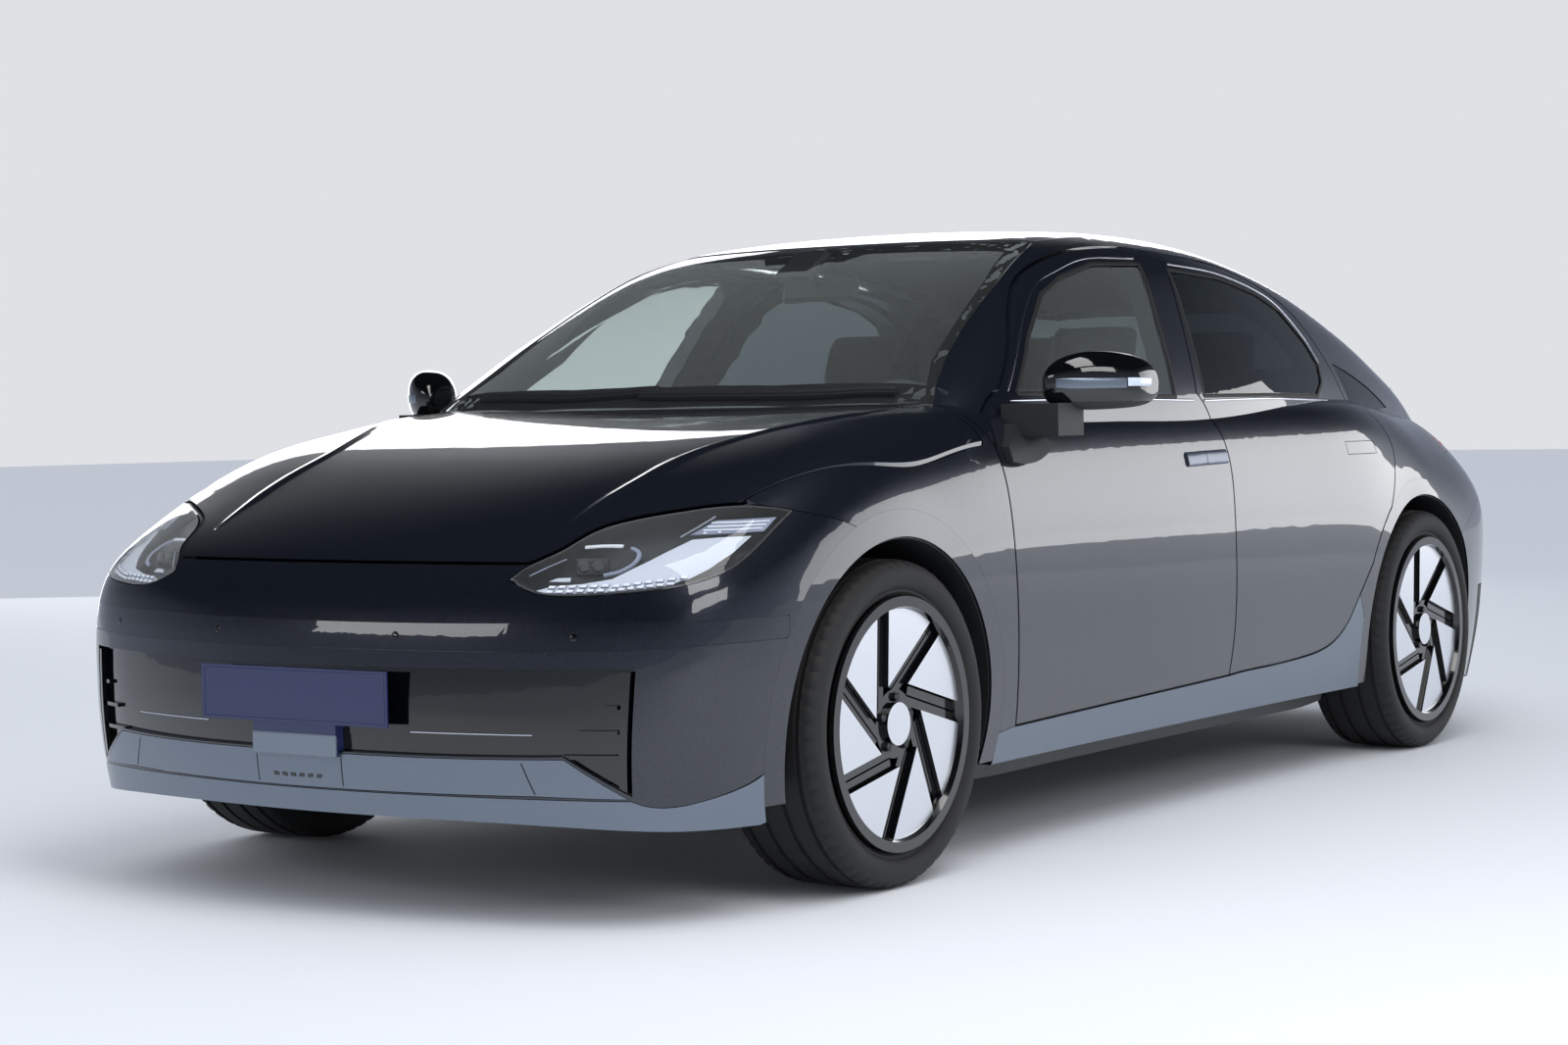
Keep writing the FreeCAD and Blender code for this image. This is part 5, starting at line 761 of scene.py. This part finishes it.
# Lines in the lamp: path, width and height, and depth under the cover.
GUIDE = ([(0.562, 0.7665), (0.600, 0.7690), (0.640, 0.7685)], (0.0085, 0.003), 0.018)
HALO = ([(0.655, 0.770), (0.680, 0.760), (0.690, 0.742), (0.676, 0.724), (0.648, 0.716)], (0.010, 0.003),
        0.024)
INNER_BAR = ([(0.505, 0.705), (0.530, 0.722), (0.556, 0.738)], (0.0028, 0.0015), 0.010)
DIVIDER = ([(0.744, 0.776), (0.756, 0.794), (0.768, 0.815)], (0.0035, 0.002), 0.008)
SMALL_REFLECTOR = [(0.548, 0.700), (0.560, 0.707), (0.588, 0.708), (0.592, 0.700)]
SMALL_REFLECTOR_DEPTH = 0.018
SMALL_REFLECTOR_CELL = 0.008
TURN = [(0.752, 0.786), (0.772, 0.813), (0.860, 0.815), (0.862, 0.788)]
TURN_DEPTH = 0.014
TURN_CELL = 0.010
TURN_RIBS = [0.794, 0.801, 0.808]
TURN_RIB_REACH = (0.768, 0.812, 0.856)
TURN_RIB = (0.0035, 0.002)
TURN_RIB_STEP = 0.008
DOTS = [(0.776, 0.7875), (0.800, 0.7885)]
DOT_SIZE = (0.007, 0.0055, 0.003)
DOT_ROUNDING = 0.0014

lamp_cover = material("clear_polycarbonate", "#F7FAFC", Roughness=0.0, IOR=1.45, Transmission_Weight=1.0)
lamp_housing = grained("lamp_housing", "#15161A", "#1E2025", 1.2, 0.35, 0.2)
bezel_silver = material("bezel_silver", "#D5DAE6", Metallic=0.35, Roughness=0.34, Coat_Weight=0.3,
                        Coat_Roughness=0.1)
pixel_white = material("pixel_diffuser", "#F6F8FF", Roughness=0.25, Coat_Weight=0.6, Coat_Roughness=0.05)
pixel_frame = material("pixel_frame", "#8C93A8", Roughness=0.4, Metallic=0.3)
projector_glass = material("projector_glass", "#11141B", Roughness=0.04, IOR=1.58, Coat_Weight=1.0,
                           Coat_Roughness=0.01)
dress(lamp_cover, "headlamp_lenses")
dress(lamp_housing, "headlamps")
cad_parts["headlamp_lenses"].visible_shadow = False
cover = skin_of("headlamp_lenses")


def lamp_line(form, path, size, depth):
    """A bead that lies under the lamp's cover."""
    return form.bead(cover, path, FROM_FRONT, size, -depth, FINE_STEP)


def lamp_plate(outline, depth, cell):
    """A thin plate that lies under the lamp's cover."""
    return Form().patch(cover, outline, FROM_FRONT, -depth, SHEET, cell)


both(lamp_plate(BEZEL, BEZEL_DEPTH, BEZEL_CELL), "lamp_bezel", bezel_silver)
pixels = Form()
frames = Form()
for first, last, count in PIXEL_ROWS:
    for k in range(count):
        place, normal = landing(cover, Vector(first).lerp(Vector(last), k / (count - 1)), FROM_FRONT)
        level, upward = facing(normal)
        axes = (level, upward + level * PIXEL_SLANT, normal)
        seat = place - normal * (BEZEL_DEPTH - PIXEL_SIZE[2])
        pixels.brick(seat, axes, PIXEL_SIZE, PIXEL_ROUNDING)
        frames.brick(seat - normal * PIXEL_FRAME_SINK, axes, PIXEL_FRAME_SIZE, PIXEL_ROUNDING)
both(pixels, "lamp_pixels", pixel_white)
both(frames, "lamp_pixel_frames", pixel_frame)

place, normal = landing(cover, PROJECTOR_CENTRE, FROM_FRONT)
seat = place - normal * PROJECTOR_DEPTH
axes = (*facing(BEAM), BEAM)
both(Form().brick(seat, axes, PROJECTOR_SIZE, PROJECTOR_ROUNDING), "lamp_projector", lamp_housing)
eyes = Form()
for offset in EYE_OFFSETS:
    eyes.turned(seat + axes[0] * offset + BEAM * (PROJECTOR_SIZE[2] / 2), axes, EYE_PROFILE, EYE_SIDES)
both(eyes, "lamp_projector_lens", projector_glass)
both(lamp_line(Form(), *GUIDE), "lamp_white_guide", pixel_white)
both(lamp_line(lamp_line(Form(), *HALO), *INNER_BAR), "lamp_grey_trims", pixel_frame)
small_reflector = lamp_plate(SMALL_REFLECTOR, SMALL_REFLECTOR_DEPTH, SMALL_REFLECTOR_CELL)
both(small_reflector, "lamp_small_reflector", bezel_silver)
both(lamp_plate(TURN, TURN_DEPTH, TURN_CELL), "lamp_turn_reflector", pixel_frame)
ribs = Form()
for z in TURN_RIBS:
    ribs.bead(cover, [(x, z) for x in TURN_RIB_REACH], FROM_FRONT, TURN_RIB, -TURN_DEPTH, TURN_RIB_STEP)
for dot in DOTS:
    place, normal = landing(cover, dot, FROM_FRONT)
    ribs.brick(place - normal * (TURN_DEPTH - SHEET), (*facing(normal), normal), DOT_SIZE, DOT_ROUNDING)
both(ribs, "lamp_turn_ribs", pixel_white)
both(lamp_line(Form(), *DIVIDER), "lamp_divider", bright)

# Tail lamps
# One red acrylic bar across the tail, with two rows of small square lights
# in it from side to side.
TAIL_PIXEL_SIZE = (0.011, 0.011, 0.0016)
TAIL_PIXEL_ROUNDING = 0.0006
TAIL_PITCH = 0.0185
TAIL_ROWS = [0.896, 0.914]
LID_REACH = (-0.660, 0.660)
END_REACH = (0.705, 0.770)
REARWARD_LEAST = 0.2

tail_acrylic = material("red_acrylic", "#5E070B", Roughness=0.08, IOR=1.49, Coat_Weight=0.5,
                        Coat_Roughness=0.03)
tail_pixel = material("tail_pixel", "#C81A1E", Roughness=0.2, IOR=1.49, Coat_Weight=0.6, Coat_Roughness=0.05)
dress(tail_acrylic, "tail_lamps", "tail_lamp_lid")


def tail_squares(skin, low, high):
    """Two rows of square lights on the parts of a skin that face rearward."""
    form = Form()
    for row in TAIL_ROWS:
        for k in range(int((high - low) / TAIL_PITCH) + 1):
            place, normal = landing(skin, (low + k * TAIL_PITCH, row), FROM_REAR)
            if place is not None and normal.y >= REARWARD_LEAST:
                form.brick(place, (*facing(normal), normal), TAIL_PIXEL_SIZE, TAIL_PIXEL_ROUNDING)
    return form


tail_squares(skin_of("tail_lamp_lid"), *LID_REACH).piece("tail_pixels_lid", tail_pixel, "boot_body")
both(tail_squares(skin_of("tail_lamps"), *END_REACH), "tail_pixels_end", tail_pixel)

# Tail trims
# A slim wing at the foot of the rear glass with a high brake light, and a
# framed field for the rear plate, left empty, in the bumper.
WING_HALF = 0.560
WING_SECTION = [(1.955, 1.106), (1.985, 1.126), (2.030, 1.131), (2.088, 1.124), (2.090, 1.119),
                (2.040, 1.116), (2.000, 1.106), (1.975, 1.094)]
WING_STATIONS = 25
WING_FOOT = WING_SECTION[0][0] + 0.03
WING_BOW = 0.02
WING_TIP_DROP = 0.016
BRAKE_LIGHT_CENTRE = (0, 2.0885, 1.122)
BRAKE_LIGHT_SIZE = (0.220, 0.005, 0.004)
BRAKE_LIGHT_ROUNDING = 0.0015
PLATE_FIELD = [(-0.275, 0.520), (0.275, 0.520), (0.262, 0.648), (-0.262, 0.648)]
FIELD_CELL = 0.03
FIELD_EDGE_SIZE = (0.010, 0.004)
REFLECTOR = [(0.700, 0.300), (0.706, 0.350), (0.712, 0.400)]
REFLECTOR_SIZE = (0.020, 0.004)

boot_skin = skin_of("boot_lid")
bumper_skin = skin_of("rear_bumper")
rings = []
for k in range(WING_STATIONS):
    x = WING_HALF * (2 * k / (WING_STATIONS - 1) - 1)
    share = (x / WING_HALF) ** 2
    bow = WING_BOW * share
    middle, _ = landing(boot_skin, (0, WING_FOOT), FROM_TOP)
    place, _ = landing(boot_skin, (x, WING_FOOT - bow), FROM_TOP)
    drop = middle.z - place.z + WING_TIP_DROP * share ** 3
    rings.append([Vector((x, y - bow, z - drop)) for y, z in WING_SECTION])
Form().loft(rings).piece("rear_wing", gloss_black, "boot_body")
brake_light = Form().brick(BRAKE_LIGHT_CENTRE, ((1, 0, 0), (0, 0, 1), (0, 1, 0)), BRAKE_LIGHT_SIZE,
                           BRAKE_LIGHT_ROUNDING)
brake_light.piece("high_brake_light", tail_pixel, "boot_body")
plate_field = Form().patch(bumper_skin, PLATE_FIELD, FROM_REAR, SHEET / 2, SHEET, FIELD_CELL)
plate_field.piece("plate_field", cladding, "root")
Form().edged(bumper_skin, PLATE_FIELD, FROM_REAR, FIELD_EDGE_SIZE).piece("plate_field_edge", paint, "root")
reflector = Form().bead(skin_of("rear_apron", "rear_bumper"), REFLECTOR, FROM_REAR, REFLECTOR_SIZE,
                        step=FINE_STEP)
both(reflector, "rear_reflector", tail_pixel)

# Windscreen
# A baked black border round the inner face, deepest at the header and the
# foot, a mirror on its stalk, and two wipers parked at the foot.
SCREEN = [(0.0, -1.169), (0.400, -1.154), (0.640, -1.112), (0.735, -1.070), (0.688, -0.960), (0.623, -0.600),
          (0.573, -0.350), (0.546, -0.272), (0.400, -0.318), (0.200, -0.350), (0.0, -0.361)]
CLEAR_VIEW = [(0.0, -1.088), (0.300, -1.082), (0.560, -1.052), (0.690, -1.030), (0.655, -0.950),
              (0.592, -0.600), (0.542, -0.400), (0.400, -0.425), (0.160, -0.445), (0.120, -0.500)]
BORDER_LIFT = 0.0004
BORDER_THICKNESS = 0.0006
BORDER_CELL = 0.03
WIPERS = [[(0.640, -1.085), (0.400, -1.128), (0.100, -1.140), (-0.060, -1.136)],
          [(-0.020, -1.122), (-0.300, -1.128), (-0.600, -1.085)]]
WIPER_BLADE = (0.010, 0.010)
WIPER_ARM = (0.020, 0.004)
WIPER_ARM_BEHIND = 0.012
MIRROR_PLACE = (0.0, -0.470)
MIRROR_REACH = Vector((0, 0.050, -0.075))
STALK_BEND = Vector((0, -0.004, 0))
STALK_RADIUS = 0.009
MIRROR_AXES = ((1, 0, 0), (0, 0.2, 1), (0, -1, 0.2))
MIRROR_SIZE = (0.235, 0.066, 0.024)
MIRROR_ROUNDING = 0.011
SENSOR_BOX_REACH = Vector((0, -0.030, -0.018))
SENSOR_BOX_AXES = ((1, 0, 0), (0, 1, 0.6), (0, -0.6, 1))
SENSOR_BOX_SIZE = (0.110, 0.130, 0.030)
SENSOR_BOX_ROUNDING = 0.010


def whole(half):
    """An outline from its left half, which starts on the centre line."""
    return half + [(-x, y) for x, y in reversed(half) if x]


black_border = material("black_ceramic_border", "#08090A", Roughness=0.45)
screen = skin_of("windshield")
border = Form().patch(screen, whole(SCREEN), FROM_BELOW, BORDER_LIFT, BORDER_THICKNESS, BORDER_CELL,
                      whole(CLEAR_VIEW))
border.piece("screen_border", black_border, "root")
wipers = Form()
for path in WIPERS:
    wipers.bead(screen, path, FROM_TOP, WIPER_BLADE)
    arm = [(x, y + WIPER_ARM_BEHIND) for x, y in path]
    wipers.bead(screen, arm, FROM_TOP, WIPER_ARM, WIPER_BLADE[1])
wipers.piece("wipers", cladding, "root")
foot, _ = landing(screen, MIRROR_PLACE, FROM_BELOW)
head = foot + MIRROR_REACH
inner_mirror = Form().brick(head, MIRROR_AXES, MIRROR_SIZE, MIRROR_ROUNDING)
inner_mirror.tube([foot, foot.lerp(head, 0.5) + STALK_BEND, head], STALK_RADIUS)
inner_mirror.brick(foot + SENSOR_BOX_REACH, SENSOR_BOX_AXES, SENSOR_BOX_SIZE, SENSOR_BOX_ROUNDING)
inner_mirror.piece("inner_mirror", cladding, "root")

# Wheels
# Cast alloy wheels: seven bright machined blades stand between gloss-black
# twin bars, round five bolts and a bare black cap.
AXLE_PLACES = {"front": (0.812, -1.5425), "rear": (0.8165, 1.4075)}
AXLE_HEIGHT = 0.352
SIDES = {"left": 1, "right": -1}
BLADE_BELOW_LIP = 0.012
BLADE_TOLERANCE = 0.002
BLADE_OUTWARD = 0.95
BOLT_CIRCLE = 0.0571
BOLT_COUNT = 5
BOLT_SIDES = 6
HUB_FACE = 0.098
BOLT_PROFILE = [(-0.002, 0.0125), (0.001, 0.0125), (0.001, 0.01025), (0.008, 0.01025), (0.010, 0.00775)]

rim_black = material("black_wheel_enamel", "#0A0B0C", Roughness=0.12, Coat_Weight=0.7, Coat_Roughness=0.04)
machined = material("machined_alloy", "#D9DCE2", Metallic=0.9, Roughness=0.3, Coat_Weight=0.4,
                    Coat_Roughness=0.1)
bolt_steel = material("bolt_steel", "#3A3C40", Metallic=1.0, Roughness=0.35)
for end, (centre_x, centre_y) in AXLE_PLACES.items():
    for name, sign in SIDES.items():
        node = end + "_rim_" + name
        dress(rim_black, node)
        low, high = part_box(node)
        face_x = max(abs(low.x), abs(high.x)) - BLADE_BELOW_LIP
        line_faces(node, machined, lambda face: face.normal.x * sign > BLADE_OUTWARD
                   and abs(abs(face.center.x) - face_x) < BLADE_TOLERANCE)
        bolts = Form()
        axes = (Vector((0, 1, 0)), UP, Vector((sign, 0, 0)))
        hub = Vector((sign * (centre_x + HUB_FACE), centre_y, AXLE_HEIGHT))
        for k, place in enumerate(circle(hub, axes[0], axes[1], BOLT_CIRCLE, BOLT_COUNT, math.pi / 2)):
            bolts.turned(place, axes, BOLT_PROFILE, BOLT_SIDES, k)
        bolts.piece(end + "_bolts_" + name, bolt_steel, end + "_wheel_" + name)

# Tyres
# Low-profile road tyres: five ribs between four grooves, cut shoulder
# blocks, a rim guard, and shallow waves in the side walls, with no lettering.
TYRE_RADIUS = 0.352
SEAT_RADIUS = 0.274
HALF_TREAD = 0.1225
TYRE_STEPS = 240
BLOCK_STEPS = 4
BLOCK_SLANT = 0.010
SLANT_REACH = 0.9
BLOCK_FOOT = 0.84
GROOVE_DEPTH = 0.007
CUT_DEPTH = 0.004
WAVE_HEIGHT = 0.0009
LONG_WAVES = (9, 9)
SHORT_WAVES = (60, 14)
WAVE_FROM = 0.3
WAVE_TO = 0.8
GROOVE_CENTRES = [-0.66, -0.24, 0.24, 0.66]
GROOVE_HALF = 0.052
GROOVE_FLOOR = 0.8
SIDE_WALL = [(0.86, 0.0), (0.905, 0.10), (0.900, 0.17), (0.955, 0.24), (0.985, 0.36), (0.999, 0.48),
             (0.992, 0.60), (0.975, 0.70), (0.950, 0.79), (0.915, 0.87)]
CROWN = [(0.870, 0.930), (0.810, 0.962), (0.760, 0.977)]

rubber = grained("tyre_rubber", "#141414", "#1C1C1C", 1.5, 0.72, 0.35)


def tread_height(across):
    """The share of the tyre's section height that the tread reaches at a place across."""
    return 1.0 - 0.030 * abs(across) ** 2.4 - 0.012 * abs(across) ** 6


def tyre_profile():
    """Places across and up the tyre's section, as shares, each with the kind of its surface."""
    outer = [(a, h, "wall") for a, h in SIDE_WALL] + [(a, h, "shoulder") for a, h in CROWN]
    floor = GROOVE_HALF * GROOVE_FLOOR
    ribs = []
    for centre in reversed(GROOVE_CENTRES):
        for place, kind in ((centre + GROOVE_HALF, "rib"), (centre + floor, "groove"),
                            (centre - floor, "groove"), (centre - GROOVE_HALF, "rib")):
            ribs.append((place, tread_height(place), kind))
    return outer + ribs + [(-a, h, kind) for a, h, kind in reversed(outer)]


def tyre(centre_x, centre_y):
    """A tyre round an axle: its section turned in steps, with every fourth cut at the shoulders."""
    rings = []
    for i in range(TYRE_STEPS):
        angle = math.tau * i / TYRE_STEPS
        ring = []
        for across, share, kind in tyre_profile():
            radius = SEAT_RADIUS + (TYRE_RADIUS - SEAT_RADIUS) * share
            outward = across
            if kind == "groove":
                radius -= GROOVE_DEPTH
            if i % BLOCK_STEPS == 0 and (kind == "shoulder" or kind == "wall" and share > BLOCK_FOOT):
                radius -= CUT_DEPTH
                outward -= math.copysign(CUT_DEPTH / 2 / HALF_TREAD, across)
            if kind == "wall" and WAVE_FROM < share < WAVE_TO:
                wave = math.prod(math.sin(angle * round_count + share * up_count)
                                 for round_count, up_count in (LONG_WAVES, SHORT_WAVES))
                outward += math.copysign(WAVE_HEIGHT * wave / HALF_TREAD, across)
                outward = max(-1.0, min(1.0, outward))
            slant = angle + BLOCK_SLANT * math.copysign(min(abs(across), SLANT_REACH), across)
            ring.append(Vector((centre_x + outward * HALF_TREAD, centre_y + radius * math.cos(slant),
                                AXLE_HEIGHT + radius * math.sin(slant))))
        rings.append(ring)
    return Form().loft(rings, closed=True)


for end, (centre_x, centre_y) in AXLE_PLACES.items():
    for name, sign in SIDES.items():
        made = tyre(sign * centre_x, centre_y)
        made = made.piece(end + "_road_tyre_" + name, rubber, end + "_wheel_" + name)
        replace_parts(made, end + "_tyre_" + name)
        dress(rubber, end + "_tyre_" + name)

# Chassis
# Coated steel arms and carriers, and a ribbed cover under the battery.
UNDER_RIBS = [-0.560, -0.280, 0.0, 0.280, 0.560]
UNDER_REACH = (-0.900, 0.0, 0.700)
UNDER_RIB_SIZE = (0.050, 0.006)
UNDER_RIB_STEP = 0.05

chassis = grained("coated_steel", "#2A2B2D", "#34363A", 2.0, 0.5, 0.3)
dress(chassis, "underbody", "front_suspension", "rear_suspension", "front_knuckle_left",
      "front_knuckle_right", "rear_knuckles")
pan = skin_of("underbody")
under_ribs = Form()
for x in UNDER_RIBS:
    under_ribs.bead(pan, [(x, y) for y in UNDER_REACH], FROM_BELOW, UNDER_RIB_SIZE,
                    step=UNDER_RIB_STEP)
under_ribs.piece("underbody_ribs", chassis, "root")

# Seats
# Foam seats under woven cloth: each cushion and backrest is crowned between
# raised side bolsters, with piped seams and a headrest on two posts.
FRONT_SEAT = {"x": 0.370, "half": 0.250, "front": -0.415, "rear": 0.105, "low": 0.410, "top": 0.540}
BENCH = {"x": 0.0, "half": 0.604, "front": 0.495, "rear": 0.945, "low": 0.410, "top": 0.540}
BENCH_HEADS = [-0.335, 0.335]
BACK_LENGTH = 0.615
BACK_THICKNESS = 0.128
BACK_FOAM = BACK_THICKNESS * 0.86
BACK_OVERLAP = BACK_THICKNESS * 0.05
BACK_SINK = 0.060
BACK_LEAN = math.radians(22.0)
BOLSTER_SHARE = 0.66
CUSHION_BOLSTER = 0.022
BACK_BOLSTER = 0.020
HEAD_BOLSTER = 0.004
SECTION_POINTS = 32
PAD_SECTIONS = 26
END_ROUNDING = 0.28
END_LEAST = 0.02
END_NARROWING = 0.07
SECTION_ROUNDING = (0.45, 0.55)
SEAT_CHANNELS = 6
CHANNEL_DEPTH = 0.006
PIPING_RADIUS = 0.0032
PIPING_SINK = 0.965
PIPING_SIDES = 6
HEADREST = (0.250, 0.172, 0.086)
HEADREST_GAP = 0.032
POST_PLACES = (-0.065, 0.065)
POST_FOOT = 0.06
POST_LENGTH = 0.10
POST_RADIUS = 0.006
POST_SIDES = 10

seat_cloth = grained("woven_seat_cloth", "#1B1C20", "#26282E", 1.6, 0.92, 0.7)
piping = grained("seat_piping", "#3A3D45", "#43464F", 1.0, 0.7, 0.3)
dress(seat_cloth, "front_seats", "rear_seat")


def crown(bolster, wide):
    """How far a pad's middle lies under its bolsters at a share of its width."""
    return bolster * 0.5 * (1 - abs(wide) ** 3)


def pad(centre, half, depth, length, along, upward, bolster, channels=SEAT_CHANNELS):
    """A crowned pad: sections across the car, laid along one direction from the centre of one end."""
    rings = []
    for i in range(PAD_SECTIONS):
        t = i / (PAD_SECTIONS - 1)
        end = min(1.0, math.sin(math.pi * min(max(t, END_LEAST), 1 - END_LEAST)) ** END_ROUNDING)
        groove = CHANNEL_DEPTH * max(0.0, math.cos(math.tau * t * channels)) ** 12 if channels else 0.0
        ring = []
        for k in range(SECTION_POINTS):
            angle = math.tau * k / SECTION_POINTS
            wide = math.copysign(abs(math.cos(angle)) ** SECTION_ROUNDING[0], math.cos(angle))
            tall = math.copysign(abs(math.sin(angle)) ** SECTION_ROUNDING[1], math.sin(angle))
            rise = 0.0
            if tall > 0:
                side = max(0.0, (abs(wide) - BOLSTER_SHARE) / (1 - BOLSTER_SHARE))
                rise = bolster * math.sin(math.pi * min(side, 1.0)) ** 2 - crown(bolster, wide)
                rise -= groove * (abs(wide) < BOLSTER_SHARE)
            reach = wide * half * (1 - END_NARROWING * (1 - end))
            ring.append(centre + Vector((reach, 0, 0)) + along * (length * t)
                        + upward * (tall * depth / 2 * end + rise * end))
        rings.append(ring)
    return Form().loft(rings)


def piped(centre, half, depth, length, along, upward, bolster):
    """Piping on both bolster seams of a pad."""
    form = Form()
    for wide in (-BOLSTER_SHARE, BOLSTER_SHARE):
        line = []
        for i in range(3, PAD_SECTIONS - 2):
            t = i / PAD_SECTIONS
            height = (depth / 2 * PIPING_SINK - crown(bolster, wide)) * math.sin(math.pi * t) ** END_ROUNDING
            line.append(centre + Vector((wide * half, 0, 0)) + along * (length * t) + upward * height)
        form.tube(line, PIPING_RADIUS, PIPING_SIDES)
    return form


def seat_piece(name, spec, heads):
    """A seat of cushion, backrest and headrests, joined into one padded piece, with its piping."""
    lean_along = Vector((0, math.sin(BACK_LEAN), math.cos(BACK_LEAN)))
    lean_out = Vector((0, -math.cos(BACK_LEAN), math.sin(BACK_LEAN)))
    cushion = (Vector((spec["x"], spec["front"], (spec["low"] + spec["top"]) / 2)), spec["half"],
               spec["top"] - spec["low"], spec["rear"] - spec["front"], Vector((0, 1, 0)), UP,
               CUSHION_BOLSTER)
    foot = Vector((spec["x"], spec["rear"] - BACK_OVERLAP, spec["top"] - BACK_SINK))
    back = (foot, spec["half"], BACK_FOAM, BACK_LENGTH, lean_along, lean_out, BACK_BOLSTER)
    foam = pad(*cushion).join(pad(*back))
    posts = Form()
    for x in heads:
        top = foot + Vector((x, 0, 0)) + lean_along * (BACK_LENGTH + HEADREST_GAP)
        foam.join(pad(top, HEADREST[0] / 2, HEADREST[2], HEADREST[1], lean_along, lean_out, HEAD_BOLSTER, 0))
        for side in POST_PLACES:
            low = top + Vector((side, 0, 0)) - lean_along * POST_FOOT
            posts.tube([low, low + lean_along * POST_LENGTH], POST_RADIUS, POST_SIDES)
    made = foam.piece(name, seat_cloth, "root", softness=1)
    piped(*cushion).join(piped(*back)).piece(name + "_piping", piping, "root")
    posts.piece(name + "_posts", bright, "root")
    return made


for name, sign in SIDES.items():
    made = seat_piece("front_seat_" + name, dict(FRONT_SEAT, x=sign * FRONT_SEAT["x"]), [0.0])
    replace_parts(made, "front_seats")
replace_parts(seat_piece("rear_bench", BENCH, BENCH_HEADS), "rear_seat")

# Cabin
# A padded dashboard with one long dark display, slim air vents, a console
# with a soft armrest, and armrests on the doors.
DISPLAY_CENTRE = (0.245, -0.800, 1.018)
DISPLAY_AXES = ((1, 0, 0), (0, -0.22, 1), (0, 1, 0.22))
DISPLAY_SIZE = (0.680, 0.118, 0.014)
DISPLAY_ROUNDING = 0.005
VENT_CENTRES = [0.672, 0.0, -0.672]
VENT_HEIGHTS = [0.900, 0.912, 0.924, 0.936]
VENT_SIZE = (0.130, 0.006, 0.008)
VENT_ROUNDING = 0.002
ARMREST_CENTRE = (0.0, -0.080, 0.585)
ARMREST_SIZE = (0.160, 0.260, 0.050)
ARMREST_ROUNDING = 0.020
DOOR_REST = [(-0.620, 0.760), (-0.300, 0.772), (0.020, 0.790)]
REAR_DOOR_REST = [(0.260, 0.770), (0.520, 0.780), (0.820, 0.800)]
REST_DEEP = Vector((0.034, 0, 0))
REST_TALL = Vector((0, 0, 0.022))
REST_SINK = 0.9
REST_END = 0.5
REST_TAPER = 4
REST_STEP = 0.03
REST_SIDES = 12

dress(lining, "dashboard", "steering_wheel")
display_glass = material("display_glass", "#05070B", Roughness=0.05, IOR=1.52)
display = Form().brick(DISPLAY_CENTRE, DISPLAY_AXES, DISPLAY_SIZE, DISPLAY_ROUNDING)
display.piece("cabin_display", display_glass, "root")
dash_skin = skin_of("dashboard")
vents = Form()
for x in VENT_CENTRES:
    for z in VENT_HEIGHTS:
        place, normal = landing(dash_skin, (x, z), FROM_REAR)
        if place is not None:
            vents.brick(place, ((1, 0, 0), (0, 0, 1), normal), VENT_SIZE, VENT_ROUNDING)
vents.piece("dash_vents", gloss_black, "root")
armrest = Form().brick(ARMREST_CENTRE, ((1, 0, 0), (0, 1, 0), (0, 0, 1)), ARMREST_SIZE, ARMREST_ROUNDING)
armrest.piece("console_armrest", seat_cloth, "root", softness=1)


def door_rest(skin, path):
    """A padded ledge along the inside of a door, with its ends drawn in."""
    hits = [landing(skin, spot, FROM_INSIDE)[0] for spot in smooth_line(path, REST_STEP)]
    places = [place for place in hits if place is not None]
    rings = []
    for i, place in enumerate(places):
        fade = min(1.0, REST_END + REST_TAPER * min(i, len(places) - 1 - i) / len(places))
        rings.append(circle(place - REST_DEEP * (REST_SINK * fade), REST_DEEP, REST_TALL, fade, REST_SIDES))
    return Form().loft(rings)


both(door_rest(front_door, DOOR_REST), "front_door_rest", lining, FRONT_DOORS)
both(door_rest(rear_door, REAR_DOOR_REST), "rear_door_rest", lining, REAR_DOORS)
